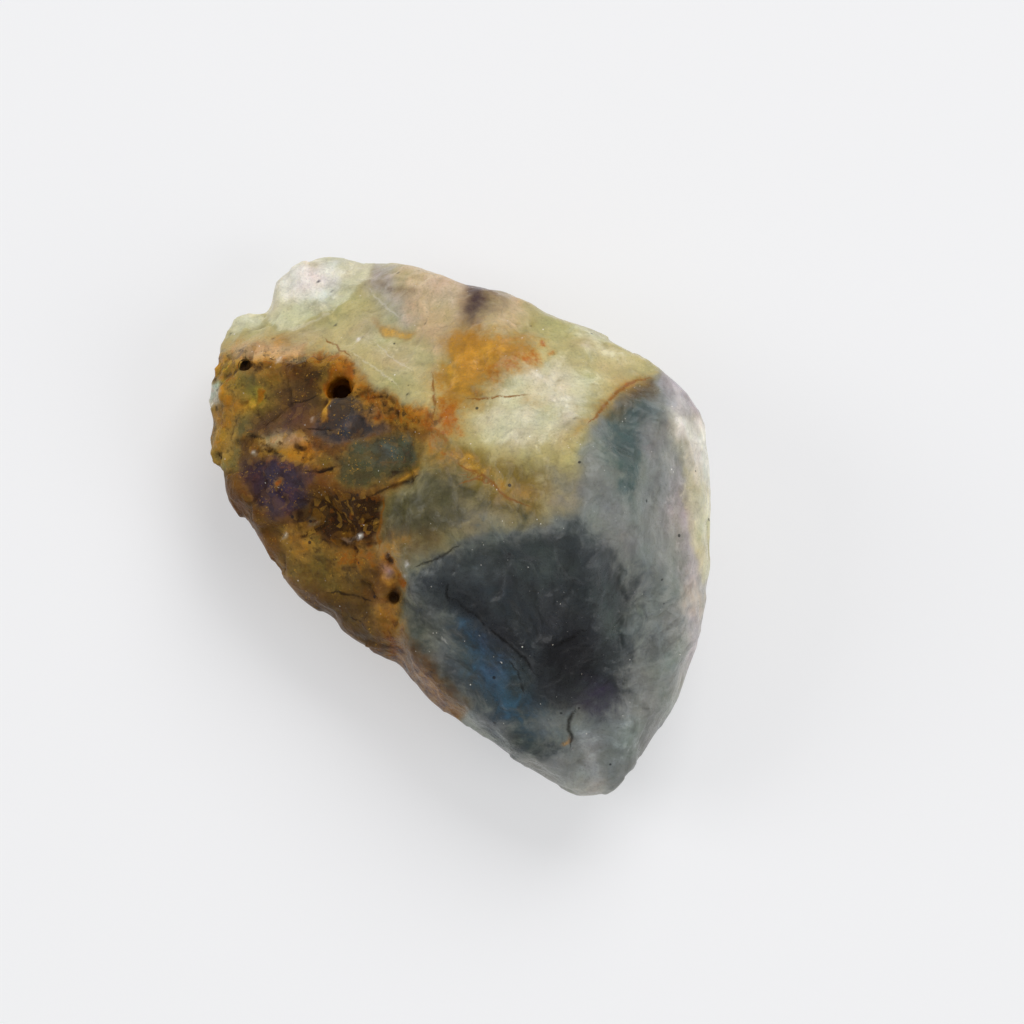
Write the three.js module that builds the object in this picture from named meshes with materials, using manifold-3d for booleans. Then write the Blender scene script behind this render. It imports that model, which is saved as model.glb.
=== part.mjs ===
// A rough piece of fluorite: one broken, slightly worn lump that rests on a flat cleavage face.
// Millimetres, +Z up. The origin is on the resting face, under the middle of the stone's plan.
// +Y runs along the stone's longer side in plan, from the pointed tip to the broad end.
import * as THREE from "three";
import { ImprovedNoise } from "three/addons/math/ImprovedNoise.js";
import { mergeVertices } from "three/addons/utils/BufferGeometryUtils.js";
import Module from "manifold-3d";

// Driving dimensions
const CROWN_HEIGHT = 20.9;
const MESH_DETAIL = 20;
const LUMP_DETAIL = 2;
const EDGE_WEAR = 0.32;
const UPPER_TAPER = 0.28;
const LOWER_TAPER = 0.2;
const RIM_ROUNDING = 0.6;
const WALL_ROUGHNESS = 0.35;
const LOBE_BLEND = 0.5;
const STEP_FLARE = 0.9;
const STEP_REACH = 2;
const STEP_WEAR = 0.16;

// The widest line round the stone, counter-clockwise seen from above: x, y and the height there.
const RIGHT_END = [
  [17.5, -10.8, 7.5],
  [18.1, -8.7, 8],
  [18.5, -6, 8],
  [19, -2.9, 8],
  [19.1, 0.4, 8],
  [19, 4.1, 8.5],
  [18.6, 7.6, 9],
];
const BACK_EDGE = [
  [17.2, 9.8, 9],
  [15.2, 11.7, 9],
  [11.7, 13.7, 9],
  [10.4, 14.6, 9],
  [6.9, 15.7, 9],
  [5.6, 16.6, 9],
  [2.7, 17.8, 9],
  [0.4, 18.2, 9],
  [-1.1, 18.9, 8.5],
  [-3.9, 20.3, 7.5],
  [-6.5, 21.4, 6],
];
const PALE_LOBES = [
  [-8.6, 21.9, 5],
  [-10.4, 21.8, 4.5],
  [-12.7, 21, 4.5],
  [-14.3, 19.8, 4.5],
  [-14.8, 18.1, 4.5],
  [-15.2, 17.1, 4],
  [-17.3, 17.2, 4],
  [-18.8, 16.5, 4],
  [-19.4, 14.9, 4.5],
];
const LEFT_END = [
  [-18.5, 13.1, 7],
  [-19, 11.1, 7.5],
  [-19.6, 9.6, 8],
  [-19.2, 8.6, 8],
  [-19, 7.6, 8],
  [-19.3, 6.2, 8],
  [-18.8, 4.7, 8],
  [-17.9, 4, 8],
  [-17.5, 1.9, 7.5],
  [-16.5, 0.4, 7],
];
const FRONT_LEFT_EDGE = [
  [-15.2, -1.3, 7],
  [-13.8, -4, 6],
  [-11.9, -6, 5.5],
  [-9.8, -7.6, 5],
  [-9.3, -8.5, 5],
  [-8.3, -9.3, 5],
  [-5.9, -10.3, 5],
  [-4.6, -10.6, 5],
  [-3.7, -12, 5.5],
  [-2.1, -13.4, 6],
  [-0.1, -14.9, 6],
  [1.3, -16.2, 6],
  [3, -16.9, 6],
  [3.7, -17.7, 6],
];
const TIP = [
  [5.7, -18.7, 6],
  [7.7, -20, 6],
  [9.5, -20.6, 6],
  [11.2, -20.7, 6],
  [12.8, -19.8, 6],
  [14.1, -18.3, 6],
  [14.5, -17, 6],
  [15.2, -15.8, 6.5],
  [16.5, -13.7, 7],
  [16.9, -11.7, 7],
];

// The two low glassy lobes behind the left end are the tops of these balls.
const LOBES = [
  { centre: new THREE.Vector3(-11.5, 17.3, 0.6), reach: 7.2 },
  { centre: new THREE.Vector3(-16.7, 14.3, 1.7), reach: 5.5 },
];

// Broken faces of the upper side: a point on each, the direction it falls in, and how steeply.
const UPPER_FACES = [
  { name: "crown", at: [6, 0.2, CROWN_HEIGHT], falls: 150, slope: 6 },
  { name: "pale back face", at: [6.8, 8.7, 17], falls: 65, slope: 36 },
  { name: "yellow back face", at: [-4.4, 10.9, 14.4], falls: 115, slope: 28 },
  { name: "step down to the lobes", at: [-10.9, 15.5, 10.2], falls: 119, slope: 55 },
  { name: "rusty left face", at: [-9.5, 5.8, 13.7], falls: 175, slope: 19 },
  { name: "left end face", at: [-16.5, 7.3, 10.6], falls: 180, slope: 45 },
  { name: "brown front facet", at: [-7.3, -3.6, 13.2], falls: 232, slope: 38 },
  { name: "blue facet", at: [1.7, -8.3, 15.8], falls: 241, slope: 38 },
  { name: "dark face", at: [6, -1.2, 20.3], falls: 255, slope: 23 },
  { name: "tip face", at: [9.8, -17, 10.8], falls: 275, slope: 38 },
  { name: "right flank", at: [15.6, -2.6, 15], falls: 0, slope: 50 },
  { name: "front right flank", at: [14.2, -11.2, 12.6], falls: 325, slope: 40 },
  { name: "back right shoulder", at: [14.9, 6.8, 15.2], falls: 40, slope: 36 },
];

// Faces of the underside: where each leaves the resting face, which way it looks, and how far it leans out.
const UNDER_FACES = [
  { name: "under the right end", at: [13.6, 0], looks: 355, lean: 42 },
  { name: "under the back right", at: [9.2, 11.6], looks: 52, lean: 36 },
  { name: "under the back", at: [-2, 14.6], looks: 70, lean: 41 },
  { name: "under the lobes", at: [-11, 13.2], looks: 128, lean: 57 },
  { name: "under the left end", at: [-14, 6], looks: 178, lean: 36 },
  { name: "under the front left", at: [-9.6, -4.6], looks: 228, lean: 30 },
  { name: "under the blue facet", at: [2, -13.8], looks: 236, lean: 24 },
  { name: "under the tip", at: [9.8, -16], looks: 285, lean: 46 },
  { name: "under the front right", at: [13.2, -10.4], looks: 322, lean: 38 },
];

// Crisp shell-shaped breaks in the upper side: where each is in plan, how wide and how deep.
const CRISP_BREAKS = [
  { name: "dark bowl", at: [5.5, -7], radius: 6.2, depth: 1 },
  { name: "blue facet shell", at: [2, -11.5], radius: 4.4, depth: 0.5 },
  { name: "small facet by the tip", at: [6.5, -16], radius: 2.6, depth: 0.6 },
  { name: "back scoop", at: [12.5, 5.5], radius: 3, depth: 1 },
];

// Softer ones, worn round.
const SOFT_BREAKS = [
  { name: "bowl over the tip", at: [9.5, -13.5], radius: 3.6, depth: 0.6 },
  { name: "pale back shell", at: [6, 7], radius: 5.2, depth: 0.6 },
  { name: "yellow shell", at: [-6, 12], radius: 4.6, depth: 0.6 },
  { name: "right rim shell", at: [16.5, -2], radius: 5.2, depth: 0.7 },
  { name: "purple pocket", at: [-13.5, 1.8], radius: 3, depth: 1.1 },
];

// The same on the sides, found by looking out from the heart of the stone.
const SIDE_BREAKS = [
  { name: "right side shell", azimuth: 344, elevation: 34, radius: 5.4, depth: 0.7 },
  { name: "right side chip", azimuth: 20, elevation: 2, radius: 4.4, depth: 0.9 },
  { name: "back side shell", azimuth: 62, elevation: 3, radius: 5, depth: 0.8 },
  { name: "back left chip", azimuth: 96, elevation: 1, radius: 4.6, depth: 0.9 },
  { name: "left side shell", azimuth: 190, elevation: 6, radius: 4.4, depth: 0.7 },
  { name: "front left shell", azimuth: 228, elevation: 2, radius: 4.6, depth: 0.8 },
  { name: "front chip", azimuth: 262, elevation: 1, radius: 4, depth: 0.8 },
  { name: "tip side chip", azimuth: 318, elevation: 4, radius: 4.4, depth: 0.8 },
];

// Low facets above and below, where small flakes have come off. They turn round the stone in a spiral.
const GRAZES = { count: 64, turn: 137.5, radius: 4.2, depth: 0.42, steepestAbove: 42, steepestBelow: 78 };

// Sunken parts with steep edges: an outline in plan, and a floor through a point, falling one way.
const HOLLOWS = [
  {
    name: "rusty left part",
    outline: [
      [-21, 8],
      [-19.5, 12],
      [-15.5, 12.5],
      [-13, 12.2],
      [-9.5, 11.9],
      [-7.8, 10.5],
      [-6.2, 8.7],
      [-3.8, 7],
      [-2, 5.5],
      [-1.2, 3.5],
      [-2.8, 1.7],
      [-5.6, 0.3],
      [-9, -0.5],
      [-12.5, -1],
      [-17, 0.5],
      [-20, 3.5],
    ],
    floor: { at: [-9.5, 5.8, 12.8], falls: 175, slope: 19 },
  },
  {
    name: "brown front facet",
    outline: [
      [-4.4, -12],
      [-4.3, -9.4],
      [-4.2, -7],
      [-4.5, -5],
      [-6, -3],
      [-8.6, -2.4],
      [-11.5, -1.8],
      [-16, -0.8],
      [-18, -4],
      [-14, -9],
      [-9, -13],
    ],
    floor: { at: [-7.3, -3.6, 11.6], falls: 232, slope: 36 },
  },
  {
    name: "brown recess",
    outline: [
      [-5.4, 1.4],
      [-5.4, 0],
      [-5.7, -1.8],
      [-5.9, -3.6],
      [-8, -3.4],
      [-9.8, -2.4],
      [-11.4, -1.6],
      [-12.2, -0.2],
      [-11.6, 1.4],
      [-10, 2.2],
      [-7.6, 2.2],
    ],
    floor: { at: [-8.6, -0.6, 11.7], falls: 200, slope: 17 },
  },
];

// Broken layers that stand out with a steep lower lip: an outline in plan and a top through a point.
const LEDGES = [
  {
    name: "green tongue",
    outline: [
      [-9.8, 2.8],
      [-8.4, 1.4],
      [-6.8, 0.8],
      [-5.2, 1.2],
      [-3.8, 1.6],
      [-2.7, 2.4],
      [-2.8, 3.8],
      [-4.4, 5.2],
      [-6.6, 6],
      [-8.8, 5.8],
      [-10, 4.4],
    ],
    top: { at: [-6.4, 1.6, 14.6], falls: 140, slope: 20 },
  },
  {
    name: "orange tongue",
    outline: [
      [-15.2, 5],
      [-14.4, 4],
      [-12.6, 3.3],
      [-10.8, 2.6],
      [-9.2, 2.7],
      [-8.6, 3.8],
      [-9.6, 5.4],
      [-12, 6.4],
      [-14.6, 6.4],
    ],
    top: { at: [-11.5, 4, 12.9], falls: 145, slope: 22 },
  },
];
const HOLE = { at: [-8.8, 9.2], radius: 1, depth: 2.4 };
const SLOT = { at: [-16.2, 11.5], radius: 0.45, depth: 1 };
const KNOB = { at: [-5.1, -5.3], radius: 1.2, sink: 0.5 };
const KNOB_PITS = [
  { at: [-4.9, -3.9], radius: 0.35, depth: 0.8 },
  { at: [-4.8, -6.4], radius: 0.4, depth: 0.7 },
];
const LEFT_BEADS = [
  { azimuth: 151.5, elevation: 21, radius: 0.85 },
  { azimuth: 155.5, elevation: 22, radius: 0.7 },
];

const wasm = await Module();
wasm.setup();
const noise = new ImprovedNoise();
const HEART = new THREE.Vector3(-2, 1, 2.5);
const BALL_SIZE = new THREE.Vector3(19.3, 20.7, 11);
const BALL_MIDDLE = new THREE.Vector3(-4, 1, 7);
const DOWN = new THREE.Vector3(0, 0, -1);
const FAR_OUT = 45;

const radians = THREE.MathUtils.degToRad;
const planDirection = (degrees) => new THREE.Vector2(Math.cos(radians(degrees)), Math.sin(radians(degrees)));

// A closed line round the z axis, as its radius and height for each direction.
function readOutline(points) {
  const curve = new THREE.CatmullRomCurve3(
    points.map(([x, y, z]) => new THREE.Vector3(x, y, z)),
    true,
    "centripetal",
  );
  const samples = curve.getPoints(24 * points.length).map((p) => ({
    angle: THREE.MathUtils.euclideanModulo(Math.atan2(p.y, p.x), 2 * Math.PI),
    radius: Math.hypot(p.x, p.y),
    height: p.z,
  }));
  samples.sort((a, b) => a.angle - b.angle);
  return samples;
}

function outlineAt(outline, x, y) {
  const angle = THREE.MathUtils.euclideanModulo(Math.atan2(y, x), 2 * Math.PI);
  let low = 0;
  let high = outline.length - 1;
  while (high - low > 1) {
    const middle = (low + high) >> 1;
    if (outline[middle].angle > angle) high = middle;
    else low = middle;
  }
  const span = outline[high].angle - outline[low].angle;
  const share = span > 0 ? THREE.MathUtils.clamp((angle - outline[low].angle) / span, 0, 1) : 0;
  return {
    radius: THREE.MathUtils.lerp(outline[low].radius, outline[high].radius, share),
    height: THREE.MathUtils.lerp(outline[low].height, outline[high].height, share),
  };
}

const rimLine = readOutline([RIGHT_END, BACK_EDGE, PALE_LOBES, LEFT_END, FRONT_LEFT_EDGE, TIP].flat());

// The larger of several distances, with the edges between them worn round.
function wornMax(values, wear) {
  const most = Math.max(...values);
  const sum = values.reduce((total, value) => total + Math.exp((value - most) / wear), 0);
  return most + wear * Math.log(sum);
}

function upperFaceDistance({ at, falls, slope }, p) {
  const way = planDirection(falls);
  const [x, y, z] = at;
  const along = (p.x - x) * way.x + (p.y - y) * way.y;
  return (p.z - z) * Math.cos(radians(slope)) + along * Math.sin(radians(slope));
}

function underFaceDistance(face, p) {
  const way = planDirection(face.looks);
  const along = (p.x - face.at[0]) * way.x + (p.y - face.at[1]) * way.y;
  const lean = radians(face.lean);
  return along * Math.cos(lean) - p.z * Math.sin(lean);
}

// An outline in plan with its own middle, ready to measure how far a point is inside it.
function planRegion(points) {
  const box = new THREE.Box2().setFromPoints(points.map(([x, y]) => new THREE.Vector2(x, y)));
  const middle = box.getCenter(new THREE.Vector2());
  const line = readOutline(points.map(([x, y]) => [x - middle.x, y - middle.y, 0]));
  return { middle, line };
}

function insideRegion({ middle, line }, p) {
  const x = p.x - middle.x;
  const y = p.y - middle.y;
  return outlineAt(line, x, y).radius - Math.hypot(x, y);
}

const hollows = HOLLOWS.map((hollow) => ({ ...hollow, region: planRegion(hollow.outline) }));
const ledges = LEDGES.map((ledge) => ({ ...ledge, region: planRegion(ledge.outline) }));

// Slow swells and small dents that every broken surface of the stone has.
function unevenness(p) {
  const at = (size, shift) => noise.noise(p.x / size + shift, p.y / size - shift, p.z / size + shift);
  return 0.35 * at(9, 3.7) + 0.22 * at(4.2, 11.3) + 0.16 * at(2, 23.9);
}

const shells = [];
const flakes = [];
const shellDistance = ({ centre, reach }, p) => reach - p.distanceTo(centre);

// The lump with its large faces, worn edges and soft breaks.
function wornLump(p, rough = unevenness(p)) {
  const rim = outlineAt(rimLine, p.x, p.y);
  const rise = p.z - rim.height;
  const drawIn = Math.hypot(rise, RIM_ROUNDING) - RIM_ROUNDING;
  const wall = Math.hypot(p.x, p.y) - rim.radius + drawIn * (rise > 0 ? UPPER_TAPER : LOWER_TAPER);
  const upper = wornMax(
    UPPER_FACES.map((face) => upperFaceDistance(face, p)),
    EDGE_WEAR,
  );
  const lobes = LOBES.map((lobe) => shellDistance(lobe, p));
  const withLobes = rough - wornMax([-upper, ...lobes], LOBE_BLEND);
  const under = Math.max(...UNDER_FACES.map((face) => underFaceDistance(face, p))) + rough;
  const breaks = shells.map((shell) => shellDistance(shell, p) + 0.3 * rough);
  return wornMax([wall + WALL_ROUGHNESS * rough, withLobes, under, ...breaks], EDGE_WEAR);
}

// Negative inside the stone, positive outside, about a distance in millimetres.
function stoneDistance(p) {
  const rough = unevenness(p);
  let distance = wornLump(p, rough);
  for (const flake of flakes) distance = Math.max(distance, shellDistance(flake, p));
  for (const { region, floor } of hollows) {
    const above = upperFaceDistance(floor, p) + 1.6 * rough;
    const inside = insideRegion(region, p) + 1.2 * rough + STEP_FLARE * Math.min(above, STEP_REACH);
    distance = wornMax([distance, -wornMax([-inside, -above], STEP_WEAR)], STEP_WEAR);
  }
  for (const { region, top } of ledges) {
    const above = upperFaceDistance(top, p) + rough;
    const outside = rough - insideRegion(region, p) + STEP_FLARE * Math.max(above, -STEP_REACH);
    distance = -wornMax([-distance, -wornMax([above, outside], STEP_WEAR)], STEP_WEAR);
  }
  return distance;
}

// Where a straight line from outside first meets a surface: the whole stone's, or that of the bare lump.
function touch(from, direction, field) {
  const leastStep = 0.05;
  let near = 0;
  let step = 0;
  let gap = field(from);
  while (gap > 0) {
    step = Math.max(leastStep, 0.6 * gap);
    near += step;
    gap = field(from.clone().addScaledVector(direction, near));
  }
  let low = near - step;
  let high = near;
  for (let i = 0; i < 14; i += 1) {
    const middle = (low + high) / 2;
    if (field(from.clone().addScaledVector(direction, middle)) > 0) low = middle;
    else high = middle;
  }
  return from.clone().addScaledVector(direction, high);
}

// The way the bare lump faces near a point.
function lumpNormal(p) {
  const reach = 1.2;
  const slope = (axis) => {
    const ahead = p.clone();
    const behind = p.clone();
    ahead[axis] += reach;
    behind[axis] -= reach;
    return wornLump(ahead) - wornLump(behind);
  };
  return new THREE.Vector3(slope("x"), slope("y"), slope("z")).normalize();
}

function onTop([x, y], field) {
  return touch(new THREE.Vector3(x, y, 2 * CROWN_HEIGHT), DOWN, field);
}

function onSide({ azimuth, elevation }, field) {
  const flat = planDirection(azimuth).multiplyScalar(Math.cos(radians(elevation)));
  const outward = new THREE.Vector3(flat.x, flat.y, Math.sin(radians(elevation)));
  return touch(HEART.clone().addScaledVector(outward, FAR_OUT), outward.negate(), field);
}

// Points all round the stone from its crown to near its foot, but not where it is steep.
function grazePoints() {
  const points = Array.from({ length: GRAZES.count }, (_, i) => {
    const elevation = THREE.MathUtils.radToDeg(Math.asin(0.98 - i / GRAZES.count));
    return onSide({ azimuth: GRAZES.turn * i, elevation }, wornLump);
  });
  const mostUp = Math.cos(radians(GRAZES.steepestAbove));
  const mostDown = -Math.cos(radians(GRAZES.steepestBelow));
  return points.filter((p) => {
    const up = lumpNormal(p).z;
    return up > mostUp || up < mostDown;
  });
}

// The ball that a shell-shaped break is the inner surface of: as wide and as deep as asked at the surface.
function shellAt(point, { radius, depth }) {
  const reach = (radius ** 2 + depth ** 2) / (2 * depth);
  return { reach, centre: point.clone().addScaledVector(lumpNormal(point), reach - depth) };
}

// A closed geometry as a solid, whichever way round its faces were made.
function solid(geometry) {
  const bare = geometry.clone();
  bare.deleteAttribute("normal");
  bare.deleteAttribute("uv");
  const merged = mergeVertices(bare, 1e-4);
  const triVerts = new Uint32Array(merged.index.array);
  const vertProperties = new Float32Array(merged.attributes.position.array);
  const made = new wasm.Manifold(new wasm.Mesh({ numProp: 3, vertProperties, triVerts }));
  if (made.volume() > 0) return made;
  return new wasm.Manifold(new wasm.Mesh({ numProp: 3, vertProperties, triVerts: triVerts.reverse() }));
}

// The lump before its details: a ball of even triangles pulled in to the stone's surface.
function lump() {
  const bare = new THREE.IcosahedronGeometry(1, MESH_DETAIL).deleteAttribute("normal").deleteAttribute("uv");
  const ball = mergeVertices(bare, 1e-4);
  const position = ball.attributes.position;
  for (let i = 0; i < position.count; i += 1) {
    const outward = new THREE.Vector3().fromBufferAttribute(position, i).multiply(BALL_SIZE);
    outward.add(BALL_MIDDLE).normalize();
    const start = HEART.clone().addScaledVector(outward, FAR_OUT);
    const surface = touch(start, outward.negate(), stoneDistance);
    position.setXYZ(i, surface.x, surface.y, surface.z);
  }
  return solid(ball);
}

// Everything under the cleavage face, which the stone rests on.
function belowRestingFace() {
  const depth = 60;
  return solid(new THREE.BoxGeometry(80, 80, depth).translate(0, 0, -depth / 2));
}

// A tapered, slightly squashed pit that goes straight down.
function pit({ at, radius, depth }) {
  const mouth = onTop(at, stoneDistance);
  const profile = [
    new THREE.Vector2(0, -depth),
    new THREE.Vector2(0.6 * radius, -0.9 * depth),
    new THREE.Vector2(0.92 * radius, -0.5 * depth),
    new THREE.Vector2(1.05 * radius, 0),
    new THREE.Vector2(1.25 * radius, 1.5),
    new THREE.Vector2(0, 1.5),
  ];
  const shape = new THREE.LatheGeometry(profile, 11).rotateX(Math.PI / 2).scale(1, 0.88, 1);
  return solid(shape.translate(mouth.x, mouth.y, mouth.z));
}

// A small rounded lump, partly sunk in the surface.
function roundLump(middle, radius) {
  const lumpShape = new THREE.IcosahedronGeometry(radius, LUMP_DETAIL).scale(1, 1.15, 0.85);
  return solid(lumpShape.translate(middle.x, middle.y, middle.z));
}

function knob() {
  const surface = onTop(KNOB.at, stoneDistance);
  return roundLump(surface.addScaledVector(DOWN, KNOB.sink * KNOB.radius), KNOB.radius);
}

function makeStone() {
  const grazes = grazePoints().map((point) => shellAt(point, GRAZES));
  const crisp = CRISP_BREAKS.map((mark) => shellAt(onTop(mark.at, wornLump), mark));
  const soft = SOFT_BREAKS.map((mark) => shellAt(onTop(mark.at, wornLump), mark));
  const sides = SIDE_BREAKS.map((mark) => shellAt(onSide(mark, wornLump), mark));
  flakes.push(...grazes, ...crisp);
  shells.push(...soft, ...sides);
  let stone = lump().subtract(belowRestingFace()).add(knob());
  for (const bead of LEFT_BEADS) {
    const surface = onSide(bead, stoneDistance);
    stone = stone.add(roundLump(surface.lerp(HEART, 0.015), bead.radius));
  }
  for (const hollow of [HOLE, SLOT, ...KNOB_PITS]) stone = stone.subtract(pit(hollow));
  return stone;
}

// The solid as a mesh geometry, with the middle of its plan over the origin.
function geometryOf(made) {
  const { vertProperties, triVerts } = made.getMesh();
  const geometry = new THREE.BufferGeometry();
  geometry.setAttribute("position", new THREE.BufferAttribute(vertProperties, 3));
  geometry.setIndex(new THREE.BufferAttribute(triVerts, 1));
  geometry.computeVertexNormals();
  geometry.computeBoundingBox();
  const middle = geometry.boundingBox.getCenter(new THREE.Vector3());
  return geometry.translate(-middle.x, -middle.y, 0);
}

const fluorite = new THREE.MeshStandardMaterial({ color: 0x8a8468, roughness: 0.45, metalness: 0 });
const stone = new THREE.Mesh(geometryOf(makeStone()), fluorite);
stone.name = "fluorite";

const specimen = new THREE.Group();
specimen.add(stone);

export default specimen;
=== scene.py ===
"""Dresses the rough lump of fluorite: its worn skin, its colours and its stage.

The stone is one piece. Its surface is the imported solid's, remade as a fine net and then worn,
chipped and cracked. Its colours are areas and veins laid out in plan, in millimetres on the
part's own axes: +X towards the pale right rim, +Y towards the pale lobes.
"""
import math
from collections import namedtuple

import bpy
import numpy as np
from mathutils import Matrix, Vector, noise


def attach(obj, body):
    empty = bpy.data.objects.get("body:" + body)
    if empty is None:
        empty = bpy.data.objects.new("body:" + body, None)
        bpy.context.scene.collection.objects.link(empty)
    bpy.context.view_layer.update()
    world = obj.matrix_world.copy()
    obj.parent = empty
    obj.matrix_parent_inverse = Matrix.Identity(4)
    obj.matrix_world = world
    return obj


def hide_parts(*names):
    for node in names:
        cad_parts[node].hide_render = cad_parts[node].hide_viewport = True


bl_info = {
    "name": "Rough fluorite",
    "version": (1, 0, 0),
    "blender": (4, 5, 0),
    "location": "3D View > Sidebar > Fluorite",
    "description": "Builds a rough lump of fluorite on its packed solid, and a plain stage for it",
    "category": "Add Mesh",
}

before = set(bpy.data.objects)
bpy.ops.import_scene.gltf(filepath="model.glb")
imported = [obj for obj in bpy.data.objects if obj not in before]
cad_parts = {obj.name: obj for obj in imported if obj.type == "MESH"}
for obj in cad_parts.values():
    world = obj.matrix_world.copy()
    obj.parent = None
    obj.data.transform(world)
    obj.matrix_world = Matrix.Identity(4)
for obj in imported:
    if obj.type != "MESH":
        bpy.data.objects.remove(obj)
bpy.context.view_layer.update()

MM = 0.001
NODE = "fluorite"


# A screen's brightness curve: a straight line up to its end, and a power above that.
SCREEN_STEPS = 255
STRAIGHT_END = 0.04045
STRAIGHT_FALL = 12.92
CURVE_OFFSET = 0.055
CURVE_POWER = 2.4


def linear(red, green, blue):
    """A colour as a screen shows it, in steps of 255, as the linear colour that shaders take."""
    def channel(value):
        share = value / SCREEN_STEPS
        if share <= STRAIGHT_END:
            return share / STRAIGHT_FALL
        return ((share + CURVE_OFFSET) / (1 + CURVE_OFFSET)) ** CURVE_POWER
    return (channel(red), channel(green), channel(blue))


# Stains
# The stone's colours, in the order that they lie over one another: the shown colour, the colour where
# it lies thin, how ragged its edges are, and which noise tears them.
Stain = namedtuple("Stain", "name label colour thin ragged noise")
STAINS = [
    Stain("straw", "Pale yellow-green", linear(186, 173, 120), linear(172, 156, 104), 0.5, "wisp"),
    Stain("fog", "Grey", linear(128, 131, 127), linear(136, 136, 120), 0.5, "wisp"),
    Stain("umber", "Brown", linear(104, 68, 22), linear(134, 100, 44), 0.6, "tear"),
    Stain("lilac", "Lilac grey", linear(184, 176, 174), linear(168, 165, 158), 0.35, "wisp"),
    Stain("rose", "Pinkish tan", linear(204, 176, 140), linear(194, 170, 130), 0.5, "wisp"),
    Stain("cream", "Pale green-white", linear(212, 206, 172), linear(194, 185, 140), 0.5, "wisp"),
    Stain("frost", "Clear white", linear(238, 233, 222), linear(212, 206, 184), 0.5, "wisp"),
    Stain("olive", "Olive", linear(128, 106, 42), linear(152, 132, 70), 0.6, "wisp"),
    Stain("moss", "Dark olive grey", linear(76, 72, 46), linear(112, 100, 56), 0.7, "wisp"),
    Stain("storm", "Dark grey", linear(47, 52, 55), linear(78, 85, 84), 0.8, "wisp"),
    Stain("sea", "Grey-green", linear(68, 87, 85), linear(100, 110, 103), 0.7, "wisp"),
    Stain("steel", "Deep blue", linear(60, 92, 115), linear(58, 78, 90), 0.8, "wisp"),
    Stain("night", "Near black", linear(27, 27, 30), linear(42, 44, 48), 0.5, "wisp"),
    Stain("clay", "Grey-brown", linear(80, 58, 34), linear(100, 74, 32), 0.6, "tear"),
    Stain("honey", "Amber", linear(180, 124, 30), linear(182, 144, 68), 0.7, "tear"),
    Stain("plum", "Violet brown", linear(54, 35, 48), linear(88, 64, 62), 0.5, "wisp"),
    Stain("violet", "Violet blue", linear(56, 45, 70), linear(70, 62, 78), 0.8, "wisp"),
    Stain("rust", "Rust orange", linear(172, 98, 10), linear(184, 138, 52), 0.9, "tear"),
    Stain("bark", "Dark rust", linear(46, 24, 6), linear(96, 56, 14), 0.9, "tear"),
    Stain("silver", "Silver grey", linear(162, 168, 166), linear(132, 139, 138), 0.5, "wisp"),
    Stain("gold", "Gold", linear(204, 152, 56), linear(166, 116, 34), 0.6, "tear"),
    # Crystal white is the colour of white grains, and also of the painted highlights and glints.
    Stain("grain", "Crystal white", linear(240, 236, 228), linear(206, 196, 178), 0.3, "tear"),
]
BODY_COLOUR = linear(150, 142, 106)
RUST_INK = linear(140, 88, 14)

# Colour areas
# A Field is an outline in plan, in millimetres, with its stain, the width of its soft edge and how
# strong it is. A Spot is a round one: its middle, its radius and the same three.
Field = namedtuple("Field", "stain outline soft amount")
Spot = namedtuple("Spot", "stain middle radius soft amount")
GROUNDS = {
    "pale top": Field("straw", (
        (-22.0, 12.4), (-13.4, 12.2), (-9.6, 11.6), (-5.0, 7.4), (-2.0, 4.4), (0.4, 1.4), (4.4, -2.2),
        (8.7, -2.3), (8.8, 1.2), (10.6, 5.8), (13.0, 8.7), (15.4, 9.8), (22.0, 12.0), (10.0, 26.0),
        (-22.0, 26.0)), 0.8, 0.95),
    "grey body": Field("fog", (
        (8.6, -2.3), (8.7, 1.4), (10.4, 5.8), (12.8, 8.6), (15.2, 9.6), (22.0, 10.0), (22.0, -24.0),
        (-2.0, -24.0), (-5.0, -12.0), (-4.0, -5.6), (1.0, -3.0)), 0.7, 0.95),
    "rusty end": Field("umber", (
        (-22.0, 12.1), (-17.0, 11.7), (-15.4, 11.9), (-13.2, 11.1), (-11.4, 11.1), (-9.9, 11.6), (-8.4, 10.6),
        (-6.8, 8.5), (-3.6, 6.9), (-1.8, 4.6), (-2.6, 1.6), (-5.5, 0.2), (-5.9, -3.4), (-4.2, -5.0),
        (-4.2, -8.0), (-4.7, -10.6), (-8.0, -14.0), (-22.0, -6.0)), 0.5, 0.97),
}
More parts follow.
